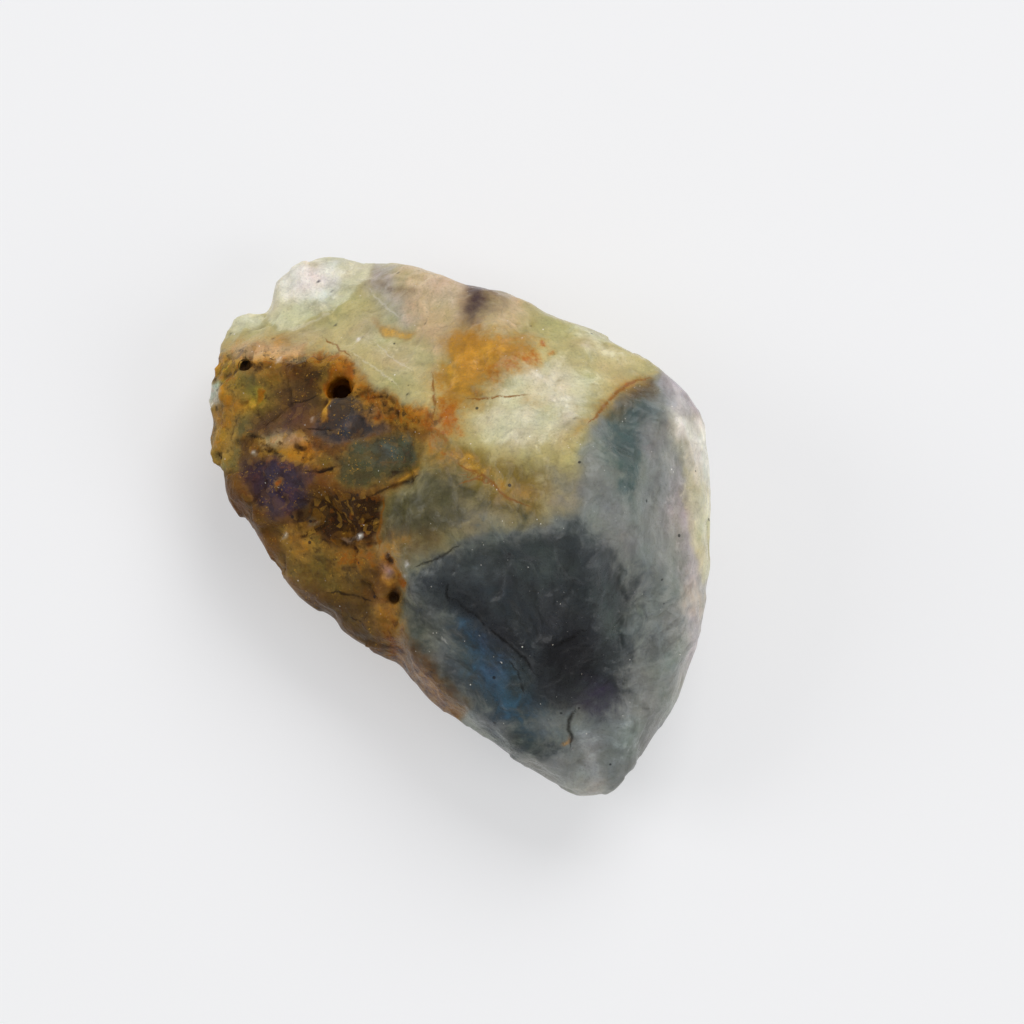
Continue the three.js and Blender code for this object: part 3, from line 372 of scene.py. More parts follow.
RUSTY_END = {
    "olive left side": Field("olive", (
        (-22.0, 11.0), (-16.2, 10.8), (-15.4, 8.8), (-16.4, 6.2), (-17.0, 3.6), (-22.0, 3.0)), 0.7, 0.75),
    "orange in it, high": Field("rust", (
        (-18.8, 10.9), (-16.8, 10.9), (-16.9, 10.0), (-18.6, 10.2)), 0.4, 0.75),
    "amber strip": Field("honey", (
        (-18.0, 10.4), (-16.8, 10.2), (-16.9, 6.6), (-18.0, 3.6), (-19.0, 5.0)), 0.7, 0.75),
    "green in it": Field("moss", ((-16.8, 10.4), (-14.6, 10.6), (-15.2, 9.2), (-16.6, 8.8)), 0.6, 0.5),
    "grey-green by it": Field("moss", ((-17.2, 7.0), (-15.6, 7.2), (-15.4, 5.8), (-16.8, 5.4)), 0.6, 0.6),
    "orange in it, low": Field("rust", ((-17.8, 6.0), (-16.8, 6.0), (-16.6, 5.0), (-17.6, 5.0)), 0.4, 0.45),
    # Partly the pale glassy bead, partly a painted highlight on it.
    "glassy bead with painted highlight": Field("grain", (
        (-21.0, 10.6), (-18.3, 10.4), (-17.9, 9.2), (-18.4, 8.4), (-21.0, 8.2)), 0.3, 0.7),
    "glassy bead, low": Field("silver", ((-21.0, 8.0), (-18.7, 7.8), (-18.5, 6.8), (-21.0, 6.6)), 0.3, 0.55),
    # Darker under the fringe's ledge: partly dark rust, partly painted shade.
    "dark ledge": Field("bark", (
        (-12.8, 11.0), (-11.4, 10.8), (-9.8, 10.2), (-9.8, 8.8), (-12.0, 9.4), (-12.8, 10.0)), 0.6, 0.8),
    "brown over the hollow": Field("rust", (
        (-15.4, 11.2), (-12.8, 11.2), (-12.6, 9.0), (-15.2, 9.2)), 0.7, 0.4),
    "shade over the hollow": Field("bark", (
        (-14.8, 11.0), (-12.6, 11.0), (-12.6, 9.6), (-14.6, 9.8)), 0.5, 0.55),
    "smoky hollow": Field("clay", (
        (-15.4, 9.8), (-10.2, 9.4), (-10.2, 7.4), (-12.0, 6.4), (-15.8, 6.8)), 0.7, 0.8),
    "mauve under it": Field("plum", (
        (-15.6, 7.2), (-11.0, 7.6), (-10.6, 6.0), (-13.0, 5.5), (-15.8, 6.0)), 0.7, 0.5),
    "gold marks": Field("gold", (
        (-16.7, 8.0), (-15.7, 8.4), (-15.2, 8.1), (-15.3, 7.6), (-16.5, 7.5)), 0.3, 0.8),
    "amber round them": Field("honey", (
        (-17.0, 8.6), (-14.4, 9.2), (-13.8, 8.0), (-15.6, 7.0), (-17.0, 7.2)), 0.6, 0.35),
    "rust by them": Field("rust", ((-15.5, 8.8), (-14.4, 8.9), (-14.6, 8.0), (-15.4, 7.8)), 0.25, 0.95),
    "dark end of the hollow": Field("storm", (
        (-10.2, 7.6), (-8.0, 7.7), (-5.6, 6.3), (-5.4, 5.2), (-9.2, 4.8), (-10.6, 5.7)), 0.5, 0.9),
    # Painted glint on the glassy dark end of the hollow.
    "painted glint in the dark end": Spot("silver", (-7.7, 6.2), 0.15, 0.5, 0.35),
    "rust lens by it": Field("rust", ((-7.0, 6.6), (-5.6, 6.4), (-5.0, 5.9), (-6.6, 6.0)), 0.35, 0.6),
    "orange tongue": Field("honey", (
        (-15.0, 5.5), (-12.4, 5.4), (-11.0, 4.8), (-11.2, 3.2), (-12.2, 3.1), (-14.6, 4.2)), 0.35, 0.85),
    "its light ridge": Field("gold", (
        (-14.8, 5.3), (-12.8, 5.0), (-11.8, 4.3), (-12.8, 3.9), (-14.2, 4.5)), 0.5, 0.5),
    "bloom on the ridge": Field("grain", (
        (-14.6, 5.6), (-12.6, 5.5), (-11.6, 4.9), (-13.2, 4.3), (-14.6, 4.6)), 0.5, 0.25),
    "olive end of it": Field("olive", ((-11.0, 4.2), (-9.3, 3.5), (-9.5, 2.7), (-11.2, 3.0)), 0.4, 0.8),
    "green tongue": Field("moss", (
        (-9.0, 3.4), (-7.4, 4.7), (-4.8, 4.9), (-3.1, 4.2), (-2.9, 2.2), (-4.8, 1.6), (-6.6, 0.9),
        (-8.2, 0.9), (-9.3, 2.0)), 0.4, 0.92),
    "grey on it": Field("sea", ((-7.4, 4.4), (-3.6, 4.3), (-3.4, 2.6), (-5.4, 2.4), (-7.0, 3.0)), 0.8, 0.3),
    "gold on its lip": Field("gold", (
        (-5.6, 0.95), (-4.0, 1.6), (-2.8, 2.1), (-2.9, 1.6), (-4.2, 1.15)), 0.15, 0.6),
    "violet pocket": Field("plum", (
        (-16.4, 3.8), (-14.6, 3.6), (-12.6, 3.1), (-11.2, 2.2), (-11.0, 0.4), (-12.4, -1.0), (-14.2, -0.8),
        (-15.8, 0.8)), 0.5, 0.97),
    "violet blue in it": Field("violet", (
        (-15.0, 3.0), (-12.4, 2.9), (-11.2, 1.8), (-11.8, -0.4), (-14.0, -0.6), (-14.8, 1.2)), 0.7, 0.55),
    "sheen in it": Field("silver", ((-14.4, 2.6), (-11.8, 2.5), (-11.6, 1.8), (-13.6, 1.9)), 0.6, 0.05),
    "brown left edge": Field("bark", (
        (-18.0, 2.8), (-16.4, 1.8), (-14.4, -1.2), (-15.4, -3.0), (-19.0, -0.6)), 0.7, 0.55),
    "orange fleck": Spot("rust", (-13.3, 2.1), 0.28, 0.2, 0.95),
    "recess": Field("bark", (
        (-11.2, 0.8), (-8.4, 0.5), (-5.8, 0.0), (-5.7, -1.6), (-6.2, -2.9), (-8.8, -2.8),
        (-11.2, -1.4)), 0.4, 0.9),
    "glassy crystal": Field("silver", (
        (-11.1, -0.9), (-10.6, -0.7), (-10.4, -1.1), (-10.6, -1.6), (-11.0, -1.5)), 0.2, 0.35),
    "rust in the recess": Field("rust", (
        (-10.6, 0.0), (-8.0, 0.0), (-6.6, -0.9), (-8.0, -1.7), (-10.2, -1.2)), 0.7, 0.4),
    "gold in the recess": Spot("gold", (-7.9, -1.7), 0.25, 0.35, 0.8),
    "amber front": Field("honey", (
        (-13.4, -1.8), (-11.6, -1.6), (-10.2, -2.4), (-10.0, -3.4), (-12.4, -4.0)), 0.6, 0.55),
    "orange front": Field("rust", ((-9.4, -3.0), (-6.2, -3.0), (-6.0, -4.8), (-9.0, -4.4)), 0.7, 0.68),
    "olive front": Field("olive", (
        (-13.8, -3.6), (-10.4, -3.8), (-7.0, -5.2), (-8.0, -6.0), (-12.4, -5.8)), 0.6, 0.35),
    "brown in the front": Field("clay", (
        (-13.4, -3.4), (-9.8, -3.8), (-6.8, -5.4), (-8.0, -7.2), (-12.4, -6.2)), 0.9, 0.15),
    "grey front": Field("clay", (
        (-12.0, -6.0), (-9.4, -6.0), (-6.8, -6.9), (-6.0, -8.6), (-6.4, -10.4), (-9.4, -9.4),
        (-12.6, -7.4)), 0.6, 0.75),
    "amber foot": Field("honey", (
        (-6.4, -7.0), (-4.8, -7.0), (-4.5, -8.6), (-5.0, -9.8), (-6.2, -9.4)), 0.6, 0.5),
    "rust in the foot": Field("rust", ((-5.8, -8.4), (-4.8, -8.6), (-4.3, -10.6), (-5.4, -10.6)), 0.5, 0.6),
    "amber low in the foot": Field("honey", (
        (-5.6, -8.6), (-4.0, -8.8), (-3.6, -11.2), (-5.6, -11.2)), 0.5, 0.75),
    "amber by the pit": Field("honey", ((-5.8, -3.0), (-4.4, -3.2), (-4.2, -5.0), (-5.8, -4.8)), 0.4, 0.6),
    "white grains": Spot("grain", (-7.2, -2.3), 0.25, 0.15, 0.95),
    "tail of the grains": Field("grain", (
        (-8.4, -2.15), (-7.4, -2.1), (-7.4, -2.35), (-8.2, -2.3)), 0.1, 0.5),
    "white grain, left": Spot("grain", (-10.3, -1.2), 0.08, 0.12, 0.7),
    "grain at the left edge": Spot("grain", (-13.0, -2.3), 0.12, 0.15, 0.8),
    "grain over the pocket": Spot("grain", (-15.4, 4.1), 0.12, 0.15, 0.8),
    "grain in the hollow": Spot("grain", (-10.8, 6.5), 0.12, 0.15, 0.8),
    "grain right of the knob": Spot("grain", (-3.7, -4.6), 0.12, 0.12, 0.9),
    "second right of the knob": Spot("grain", (-4.0, -5.2), 0.08, 0.12, 0.9),
    "gold bead": Field("gold", ((-10.2, 7.7), (-9.6, 7.7), (-9.5, 6.3), (-10.1, 6.2)), 0.2, 0.95),
    "rust round the hole": Spot("rust", (-8.9, 9.1), 1.3, 0.4, 0.8),
    "hole": Spot("bark", (-8.9, 9.1), 0.6, 0.5, 0.45),
    "knob": Spot("gold", (-5.2, -5.4), 0.75, 0.35, 0.85),
    # Painted highlight on the knob's top.
    "painted highlight on the knob": Spot("grain", (-5.4, -5.2), 0.2, 0.4, 0.6),
    "orange by the knob": Field("rust", (
        (-4.7, -5.2), (-4.2, -5.0), (-3.9, -5.9), (-4.3, -6.5), (-4.7, -6.0)), 0.25, 0.8),
    "pit over the knob": Spot("bark", (-5.0, -4.3), 0.3, 0.2, 0.9),
    "pit under the knob": Spot("bark", (-4.9, -6.6), 0.2, 0.2, 0.4),
}
# Single dark specks on the pale parts.
SPECK_RADIUS = 0.09
SPECK_SOFT = 0.07
SPECK_PLACES = [
    (-13.6, 20.6), (-12.9, 18.8), (-11.1, 18.8), (-9.6, 18.0), (-4.4, 18.9), (-17.9, 14.7), (-9.6, 14.7),
    (-2.7, 14.0), (-3.6, 7.9), (-14.2, 13.5), (8.3, 5.2), (5.3, 13.5), (1.4, 10.0), (0.6, 9.6)]
SPECKS = {
    f"speck {number}": Spot("night", place, SPECK_RADIUS, SPECK_SOFT, 1.0)
    for number, place in enumerate(SPECK_PLACES)
}
AREAS = [
    GROUNDS, PALE_LOBES, PINK_BACK, PALE_MIDDLE, SLOPE, DARK_BODY, TIP, RIGHT_RIM, RUST_FRINGE, RUSTY_END,
    SPECKS]

# Veins
# Each vein is a line in plan: its points in millimetres, its half-width and the depth of its groove,
# which is below 0 where the vein stands up as a ridge.
Vein = namedtuple("Vein", "points half depth")
RUST_VEINS = {
    "crack in the yellow": Vein(((-1.9, 9.3), (-1.8, 8.0), (-1.7, 6.8), (-2.0, 5.4)), 0.10, 0.10),
    "short streak": Vein(((0.6, 7.1), (2.4, 7.1), (3.6, 7.15), (5.1, 7.3)), 0.10, 0.0),
    "arch": Vein(((9.6, 5.0), (10.4, 5.9), (11.0, 6.9), (11.8, 8.0), (12.8, 8.9), (14.4, 9.5)), 0.16, 0.06),
    "slanting streak": Vein(((0.0, 2.1), (1.6, 1.4), (2.8, 0.4), (3.8, -0.8), (5.2, -1.4)), 0.14, 0.0),
    "marks by it": Vein(((0.2, 0.6), (1.4, 1.0), (2.4, 0.4)), 0.09, 0.04),
    "scratch": Vein(((-10.2, 13.2), (-9.3, 12.4), (-8.2, 11.3)), 0.11, 0.05),
    "side of the recess": Vein(((-5.3, 0.0), (-5.7, -1.4), (-5.8, -2.6), (-5.9, -3.6)), 0.10, 0.0),
}
DARK_VEINS = {
    "under the tongue": Vein(((-11.4, 2.4), (-10.2, 2.3), (-9.0, 2.7)), 0.14, 0.16),
    "lip of the recess": Vein(((-2.9, 1.5), (-3.6, 1.2), (-5.2, 0.7), (-6.4, 0.1)), 0.20, 0.16),
    "slit": Vein(((-0.7, -6.3), (-0.75, -7.0), (-0.6, -7.8)), 0.14, 0.10),
    "crease": Vein(((-0.7, -7.2), (1.6, -8.8), (2.8, -10.0), (4.6, -11.4), (6.0, -13.0)), 0.10, 0.12),
    "second crease": Vein(((3.4, -11.4), (4.4, -12.6), (5.0, -14.2)), 0.08, 0.06),
    "slash": Vein(((7.0, -11.2), (8.4, -10.4), (9.4, -9.9)), 0.13, 0.05),
    "upper slash": Vein(((-3.0, -5.0), (-1.4, -4.5), (0.2, -3.9)), 0.12, 0.05),
    "tip crack": Vein(((8.6, -15.4), (8.2, -16.2), (8.1, -16.8), (8.4, -17.3), (8.4, -17.8)), 0.18, 0.40),
    "slot": Vein(((-16.3, 12.1), (-16.3, 11.1)), 0.20, 0.35),
    "marks on the tongue": Vein(((-14.6, 4.4), (-13.9, 4.3), (-13.4, 4.0)), 0.16, 0.10),
    "step above the hollow": Vein(((-16.0, 5.6), (-15.2, 5.5), (-14.6, 5.2)), 0.12, 0.10),
    "line on the front": Vein(((-9.8, -6.1), (-8.4, -6.3), (-7.2, -6.7), (-6.4, -6.9)), 0.10, 0.08),
    "lower line on the front": Vein(((-8.2, -7.9), (-7.4, -8.2), (-6.9, -8.9)), 0.06, 0.05),
    "line in the hollow": Vein(((-12.6, 8.0), (-11.6, 8.0), (-10.6, 8.5)), 0.08, 0.08),
    "second line in it": Vein(((-11.4, 5.9), (-10.4, 5.9), (-9.4, 5.5)), 0.08, 0.08),
}
PALE_VEINS = {
    "left of the blue": Vein(((-1.3, -9.9), (-0.8, -10.5)), 0.08, 0.0),
    # A painted highlight line along the raised ridge under the big lobe.
    "painted highlight on the ridge under the big lobe": Vein((
        (-8.3, 16.8), (-9.0, 16.2), (-10.0, 15.5), (-11.2, 14.9), (-12.8, 14.1)), 0.12, -0.10),
    "scratch on the pale slope": Vein(((-6.4, 12.6), (-4.8, 10.8), (-3.4, 9.7)), 0.07, 0.05),
    "fracture in the pale slope": Vein(((-8.0, 11.6), (-6.4, 10.2), (-5.0, 9.0), (-4.4, 8.2)), 0.10, 0.0),
    "fracture in the big lobe": Vein(((-14.2, 17.6), (-12.4, 17.2), (-10.6, 17.4), (-9.2, 17.2)), 0.10, 0.0),
    "fracture by the pink": Vein(((-7.0, 17.6), (-5.8, 15.8), (-4.6, 14.6)), 0.10, 0.0),
}
VEINS = {"rust": RUST_VEINS, "dark": DARK_VEINS, "pale": PALE_VEINS}

# Rough ground, where the surface is pitted and flaked, as areas of no stain.
ROUGH_GROUND = {
    "whole rusty end": Field(None, (
        (-22.0, 12.6), (-13.0, 12.3), (-8.4, 11.2), (-6.6, 8.7), (-2.2, 5.4), (-3.0, 1.4), (-5.6, 0.2),
        (-6.0, -4.2), (-8.0, -5.6), (-14.0, -4.0), (-22.0, 0.0)), 1.0, 0.18),
    "front of it": Field(None, (
        (-14.0, -3.6), (-7.6, -4.6), (-4.4, -5.4), (-4.8, -9.6), (-9.0, -10.6), (-14.0, -7.0)), 0.8, 0.1),
    "left side": Field(None, (
        (-22.0, 12.0), (-16.6, 11.0), (-16.4, 7.0), (-17.4, 3.0), (-22.0, 2.0)), 0.8, 0.2),
    "fringe": Field(None, (
        (-19.0, 12.8), (-13.2, 12.6), (-8.6, 11.4), (-8.0, 9.8), (-12.0, 10.4), (-19.0, 10.8)), 0.6, 0.8),
    "fringe, low": Field(None, ((-8.0, 9.2), (-5.4, 8.0), (-1.8, 5.2), (-3.4, 4.6), (-8.0, 7.4)), 0.6, 0.7),
    "by the tongue": Field(None, (
        (-15.8, 5.9), (-11.6, 5.4), (-9.0, 3.4), (-11.4, 2.4), (-15.4, 3.8)), 0.6, 0.6),
    "recess": Field(None, (
        (-11.4, 0.6), (-8.6, 0.6), (-5.8, 0.0), (-6.0, -3.0), (-11.0, -2.8), (-12.8, -2.0)), 0.5, 0.6),
}


class FluoriteStone(bpy.types.PropertyGroup):
    """Sizes and finish of the stone."""

    cell: bpy.props.FloatProperty(
        name="Net cell", description="Side of the small faces that the surface is made of",
        default=0.217 * MM, min=0.1 * MM, max=1 * MM, unit="LENGTH", precision=5)
    relief: bpy.props.FloatProperty(
        name="Relief", description="How deep the chips, pits and waves of the surface are, 1 being natural",
        default=1.0, min=0.0, max=2.0, subtype="FACTOR")
    glow: bpy.props.FloatProperty(
        name="Glow depth", description="How far light spreads inside the stone",
        default=0.5 * MM, min=0.0, max=5 * MM, unit="LENGTH", precision=5)
    milkiness: bpy.props.FloatProperty(
        name="Milkiness", description="How much of the light enters the stone before it comes back",
        default=0.45, min=0.0, max=1.0, subtype="FACTOR")
    gloss: bpy.props.FloatProperty(
        name="Roughness", description="Roughness of the clean waxy skin",
        default=0.3, min=0.05, max=1.0, subtype="FACTOR")
    body: bpy.props.FloatVectorProperty(
        name="Body", description="Colour under all the stains",
        default=BODY_COLOUR, size=3, min=0.0, max=1.0, subtype="COLOR")


class FluoriteStains(bpy.types.PropertyGroup):
    """Colours of the stains, one for each kind."""

    __annotations__ = {
        stain.name: bpy.props.FloatVectorProperty(
            name=stain.label, description=f"Colour of the {stain.label.lower()} areas",
            default=stain.colour, size=3, min=0.0, max=1.0, subtype="COLOR")
        for stain in STAINS
    }


class FluoriteStage(bpy.types.PropertyGroup):
    """Floor, light and camera round the stone."""

    floor: bpy.props.FloatVectorProperty(
        name="Floor", description="Colour of the floor", default=linear(196, 196, 198),
        size=3, min=0.0, max=1.0, subtype="COLOR")
    key: bpy.props.FloatProperty(
        name="Key light", description="Power of the large soft light behind the stone, in watts",
        default=10.5, min=0.0, max=200.0)
    fill: bpy.props.FloatProperty(
        name="Fill", description="Brightness of the pale room light from all round",
        default=0.37, min=0.0, max=5.0)
    side: bpy.props.FloatProperty(
        name="Side lights", description="Power of each of the two soft lights at the sides, in watts",
        default=4.2, min=0.0, max=200.0)
    table_glow: bpy.props.FloatProperty(
        name="Table glow", description="Light that the pale floor gives off, as a light table does",
        default=0.375, min=0.0, max=1.0)
    elevation: bpy.props.FloatProperty(
        name="Camera elevation", description="Height of the camera above the horizon",
        default=math.radians(79), min=0.0, max=math.radians(90), subtype="ANGLE")
    distance: bpy.props.FloatProperty(
        name="Camera distance", description="From the camera to the middle of the stone",
        default=227.5 * MM, min=0.05, max=2.0, unit="LENGTH", precision=4)


def smooth_step(low, high, value):
    """0 below low, 1 above high, and a soft curve between them; low may be the higher one."""
    share = np.clip((value - low) / (high - low), 0, 1)
    return share * share * (3 - 2 * share)


# Noise
# The finer octaves of the noise fade by the first number and get finer by the second.
OCTAVE_FADE = 0.8
OCTAVE_STEP = 2.0
CRAG_OCTAVES = 4
# These two spread the cells apart where their chances are looked up, so that neighbours differ.
TILT_SPREAD = 7.3
CHOICE_SPREAD = 5.1
# A pit's radius, in shares of the spacing.
PIT_RADIUS = 0.5
# The middle of a noise in the material, and of a chance, which both run from 0 to 1.
MIDDLE = 0.5


def noise_at(points, wavelength, octaves, seed):
    """Smooth noise at each point, about -1 to 1, with waves about that long in millimetres."""
    places = (points / wavelength + seed).tolist()
    return np.array([noise.fractal(place, OCTAVE_FADE, OCTAVE_STEP, octaves) for place in places])


def chips_at(points, width, seed):
    """The height of flat chips about that wide, each tilted its own way, in shares of half its width."""
    heights = np.empty(len(points))
    for row, place in enumerate((points / width + seed).tolist()):
        middle = noise.voronoi(place)[1][0]
        tilt = noise.cell_vector(middle * TILT_SPREAD)
        heights[row] = sum((tilt[axis] - MIDDLE) * (place[axis] - middle[axis]) for axis in range(3))
    return heights * 2


def crags_at(points, wavelength, seed):
    """The height of crumbly ground, 0 to about 1: rounded lumps with sharp creases between them."""
    places = (points / wavelength + seed).tolist()
    return np.array([noise.turbulence(place, CRAG_OCTAVES, True) for place in places])


def pits_at(points, spacing, share, seed):
    """Round pits in some of the cells of that spacing: 1 at a pit's bottom, 0 outside."""
    depths = np.zeros(len(points))
    for row, place in enumerate((points / spacing + seed).tolist()):
        distances, middles, *_ = noise.voronoi(place)
        if noise.cell(middles[0] * CHOICE_SPREAD) < share:
            depths[row] = max(0.0, 1 - (distances[0] / PIT_RADIUS) ** 2)
    return depths


# How far a point's value moves towards its neighbours' mean in one round of smoothing.
SMOOTH_SHARE = 0.5


class Surface:
    """The stone's fine net: its points in millimetres, its edges and its normals."""

    def __init__(self, mesh):
        self.mesh = mesh
        count = len(mesh.vertices)
        places = np.empty(count * 3, np.float32)
        mesh.vertices.foreach_get("co", places)
        self.points = places.reshape(-1, 3).astype(float) / MM
        edges = np.empty(len(mesh.edges) * 2, np.int32)
        mesh.edges.foreach_get("vertices", edges)
        self.edges = edges.reshape(-1, 2)
        self.degree = np.bincount(self.edges.ravel(), minlength=count).astype(float)

    def mean_of_neighbours(self, values):
        """For each point, the mean of a value over the points next to it."""
        first, second = self.edges.T
        total = np.bincount(first, values[second], len(values))
        total += np.bincount(second, values[first], len(values))
        return total / self.degree

    def smoothed(self, values, rounds):
        """The values with their small changes evened out."""
        for _ in range(rounds):
            values = values + SMOOTH_SHARE * (self.mean_of_neighbours(values) - values)
        return values

    def evened(self, rounds):
        """The surface's points with its small bumps evened out."""
        return np.stack([self.smoothed(column, rounds) for column in self.points.T], axis=1)

    def write(self):
        """Puts the points back into the mesh."""
        self.mesh.vertices.foreach_set("co", (self.points * MM).astype(np.float32).ravel())
        self.mesh.update()

    def normals(self):
        """The outward direction at each point."""
        self.write()
        directions = np.empty(len(self.points) * 3, np.float32)
        self.mesh.vertex_normals.foreach_get("vector", directions)
        return directions.reshape(-1, 3).astype(float)

    def store(self, name, values):
        """Keeps a value for each point on the mesh, for the material to read."""
        layer = self.mesh.attributes.new(name, "FLOAT", "POINT")
        layer.data.foreach_set("value", values.astype(np.float32))


def depth_inside(outline, x, y):
    """How far each point in plan lies inside a closed outline, and below 0 how far outside."""
    nearest = np.full(len(x), np.inf)
    inside = np.zeros(len(x), bool)
    for (from_x, from_y), (to_x, to_y) in zip(outline, outline[1:] + outline[:1]):
        run = to_x - from_x
        rise = to_y - from_y
        share = np.clip(((x - from_x) * run + (y - from_y) * rise) / (run * run + rise * rise), 0, 1)
        nearest = np.minimum(nearest, np.hypot(x - from_x - share * run, y - from_y - share * rise))
        if rise:
            crosses = ((from_y > y) != (to_y > y)) & (x < from_x + run * (y - from_y) / rise)
            inside ^= crosses
    return np.where(inside, nearest, -nearest)


def cover_of(area, x, y):
    """How much of an area's stain each point in plan takes."""
    if isinstance(area, Field):
        depth = depth_inside(area.outline, x, y)
    else:
        depth = area.radius - np.hypot(x - area.middle[0], y - area.middle[1])
    return area.amount * smooth_step(-area.soft, area.soft, depth)


def union_of(covers, count):
    """Several covers as one, none of them over 1."""
    bare = np.ones(count)
    for cover in covers:
        bare *= 1 - cover
    return 1 - bare


def offset_from(vein, x, y):
    """The signed distance of each point from a vein's line, and how far along it lies, 0 to 1."""
    line = np.array(vein.points)
    lengths = np.hypot(*np.diff(line, axis=0).T)
    best = np.full(len(x), np.inf)
    offset = np.zeros(len(x))
    along = np.zeros(len(x))
    walked = 0.0
    for start, end, length in zip(line[:-1], line[1:], lengths):
        step = (end - start) / length
        ahead = (x - start[0]) * step[0] + (y - start[1]) * step[1]
        aside = (y - start[1]) * step[0] - (x - start[0]) * step[1]
        nearest = np.clip(ahead, 0, length)
        distance = np.hypot(ahead - nearest, aside)
        closer = distance < best
        best[closer] = distance[closer]
        offset[closer] = (np.sign(aside) * distance)[closer]
        along[closer] = ((walked + nearest) / lengths.sum())[closer]
        walked += length
    return offset, along


# Veins on the surface, in millimetres: how far from its line a vein is told apart, the offset kept
# where no vein is near, and the least half-width of a groove.
VEIN_REACH = 0.7
NO_VEIN = 9.0
LEAST_GROOVE = 0.2
# A vein's ends thin out over 1 / VEIN_TAPER of its length, down to this share of its width.
VEIN_TAPER = 5
VEIN_END = 0.15


def lay_veins(veins, x, y, upward):
    """The nearest vein's signed offset and half-width at each point, and the depth of all grooves."""
    offsets = np.full(len(x), NO_VEIN)
    halves = np.zeros(len(x))
    depth = np.zeros(len(x))
    for vein in veins.values():
        offset, along = offset_from(vein, x, y)
        taper = np.clip(VEIN_TAPER * np.minimum(along, 1 - along) + VEIN_END, 0, 1)
        half = vein.half * taper * upward
        near = (np.abs(offset) < np.abs(offsets)) & (np.abs(offset) < VEIN_REACH)
        offsets[near] = offset[near]
        halves[near] = half[near]
        groove = vein.depth * taper * upward * np.exp(-(offset / max(2 * vein.half, LEAST_GROOVE)) ** 2)
        depth = np.where(np.abs(groove) > np.abs(depth), groove, depth)
    return offsets, halves, depth


LEAST_POINTS = 10000


def stone_mesh(settings):
    """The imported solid's surface as an even net of small faces."""
    source = bpy.data.objects.new("stone_source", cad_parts[NODE].data.copy())
    bpy.context.collection.objects.link(source)
    remesh = source.modifiers.new("net", "REMESH")
    remesh.mode = "VOXEL"
    remesh.voxel_size = settings.cell
    graph = bpy.context.evaluated_depsgraph_get()
    mesh = bpy.data.meshes.new_from_object(source.evaluated_get(graph))
    bpy.data.objects.remove(source)
    if len(mesh.vertices) < LEAST_POINTS:
        raise RuntimeError("the stone's net came out empty, so the cell is too wide")
    mesh.name = "fluorite_stone"
    return mesh


# Wear
# Each kind of wear: its height and width in millimetres, how much of it the clean ground has, how much
# more the rough ground has, and the seed of its noise.
Relief = namedtuple("Relief", "height width clean rough seed")
WAVES = Relief(0.13, 3.2, 1.0, 0.0, 11.0)
CHIPS = Relief(0.34, 2.6, 0.6, 0.9, 4.0)
SMALL_CHIPS = Relief(0.14, 1.1, 0.15, 1.0, 9.0)
CRAGS = Relief(0.42, 2.0, 0.0, 1.0, 30.0)
PITS = Relief(-0.24, 1.5, 0.0, 1.0, 2.0)
GRAIN = Relief(0.10, 0.8, 0.2, 1.0, 5.0)
WAVE_OCTAVES = 2
GRAIN_OCTAVES = 4
# The height of the crags that leaves the surface where it is.
CRAG_MIDDLE = 0.5
# The share of the cells that hold a pit.
PIT_SHARE = 0.25
# Heights over the flat face, in millimetres, between which the wear fades in.
WORN_FROM = 0.1
WORN_IN_FULL = 1.2


def wear(surface, settings, rough, depth):
    """Moves the net's points in and out: waves, chips, pits and grooves, none of them at the flat face."""
    normals = surface.normals()
    points = surface.points.copy()
    shapes = (
        (WAVES, noise_at(points, WAVES.width, WAVE_OCTAVES, WAVES.seed)),
        (CHIPS, chips_at(points, CHIPS.width, CHIPS.seed)),
        (SMALL_CHIPS, chips_at(points, SMALL_CHIPS.width, SMALL_CHIPS.seed)),
        (CRAGS, crags_at(points, CRAGS.width, CRAGS.seed) - CRAG_MIDDLE),
        (PITS, pits_at(points, PITS.width, PIT_SHARE, PITS.seed)),
        (GRAIN, noise_at(points, GRAIN.width, GRAIN_OCTAVES, GRAIN.seed)))
    height = -depth
    for relief, shape in shapes:
        height += relief.height * (relief.clean + relief.rough * rough) * shape
    height *= settings.relief * smooth_step(WORN_FROM, WORN_IN_FULL, points[:, 2])
    height = surface.smoothed(height, 1)
    surface.points += normals * height[:, None]


# Strays make the edges of the areas and the lines of the veins uneven: how far and how wide, in
# millimetres, in how many octaves, and the seed of the noise.
Stray = namedtuple("Stray", "reach width octaves seed")
AREA_STRAY = Stray(0.55, 3.0, 4, 20.0)
VEIN_STRAY = Stray(0.16, 1.1, 3, 50.0)
SEED_STEP = 9
# Rounds of smoothing: of the net before it is worn, and of the surface that hollows are measured from.
NET_ROUNDS = 3
HOLLOW_ROUNDS = 10
# Marks fade out where the surface turns down: the normals' heights between which they do.
MARKS_END = -0.1
MARKS_WHOLE = 0.3


def strayed(points, stray):
    """The places in plan, each strayed a little by smooth noise."""
    return [
        points[:, axis] + stray.reach * noise_at(
            points, stray.width, stray.octaves, stray.seed + SEED_STEP * axis)
        for axis in range(2)]


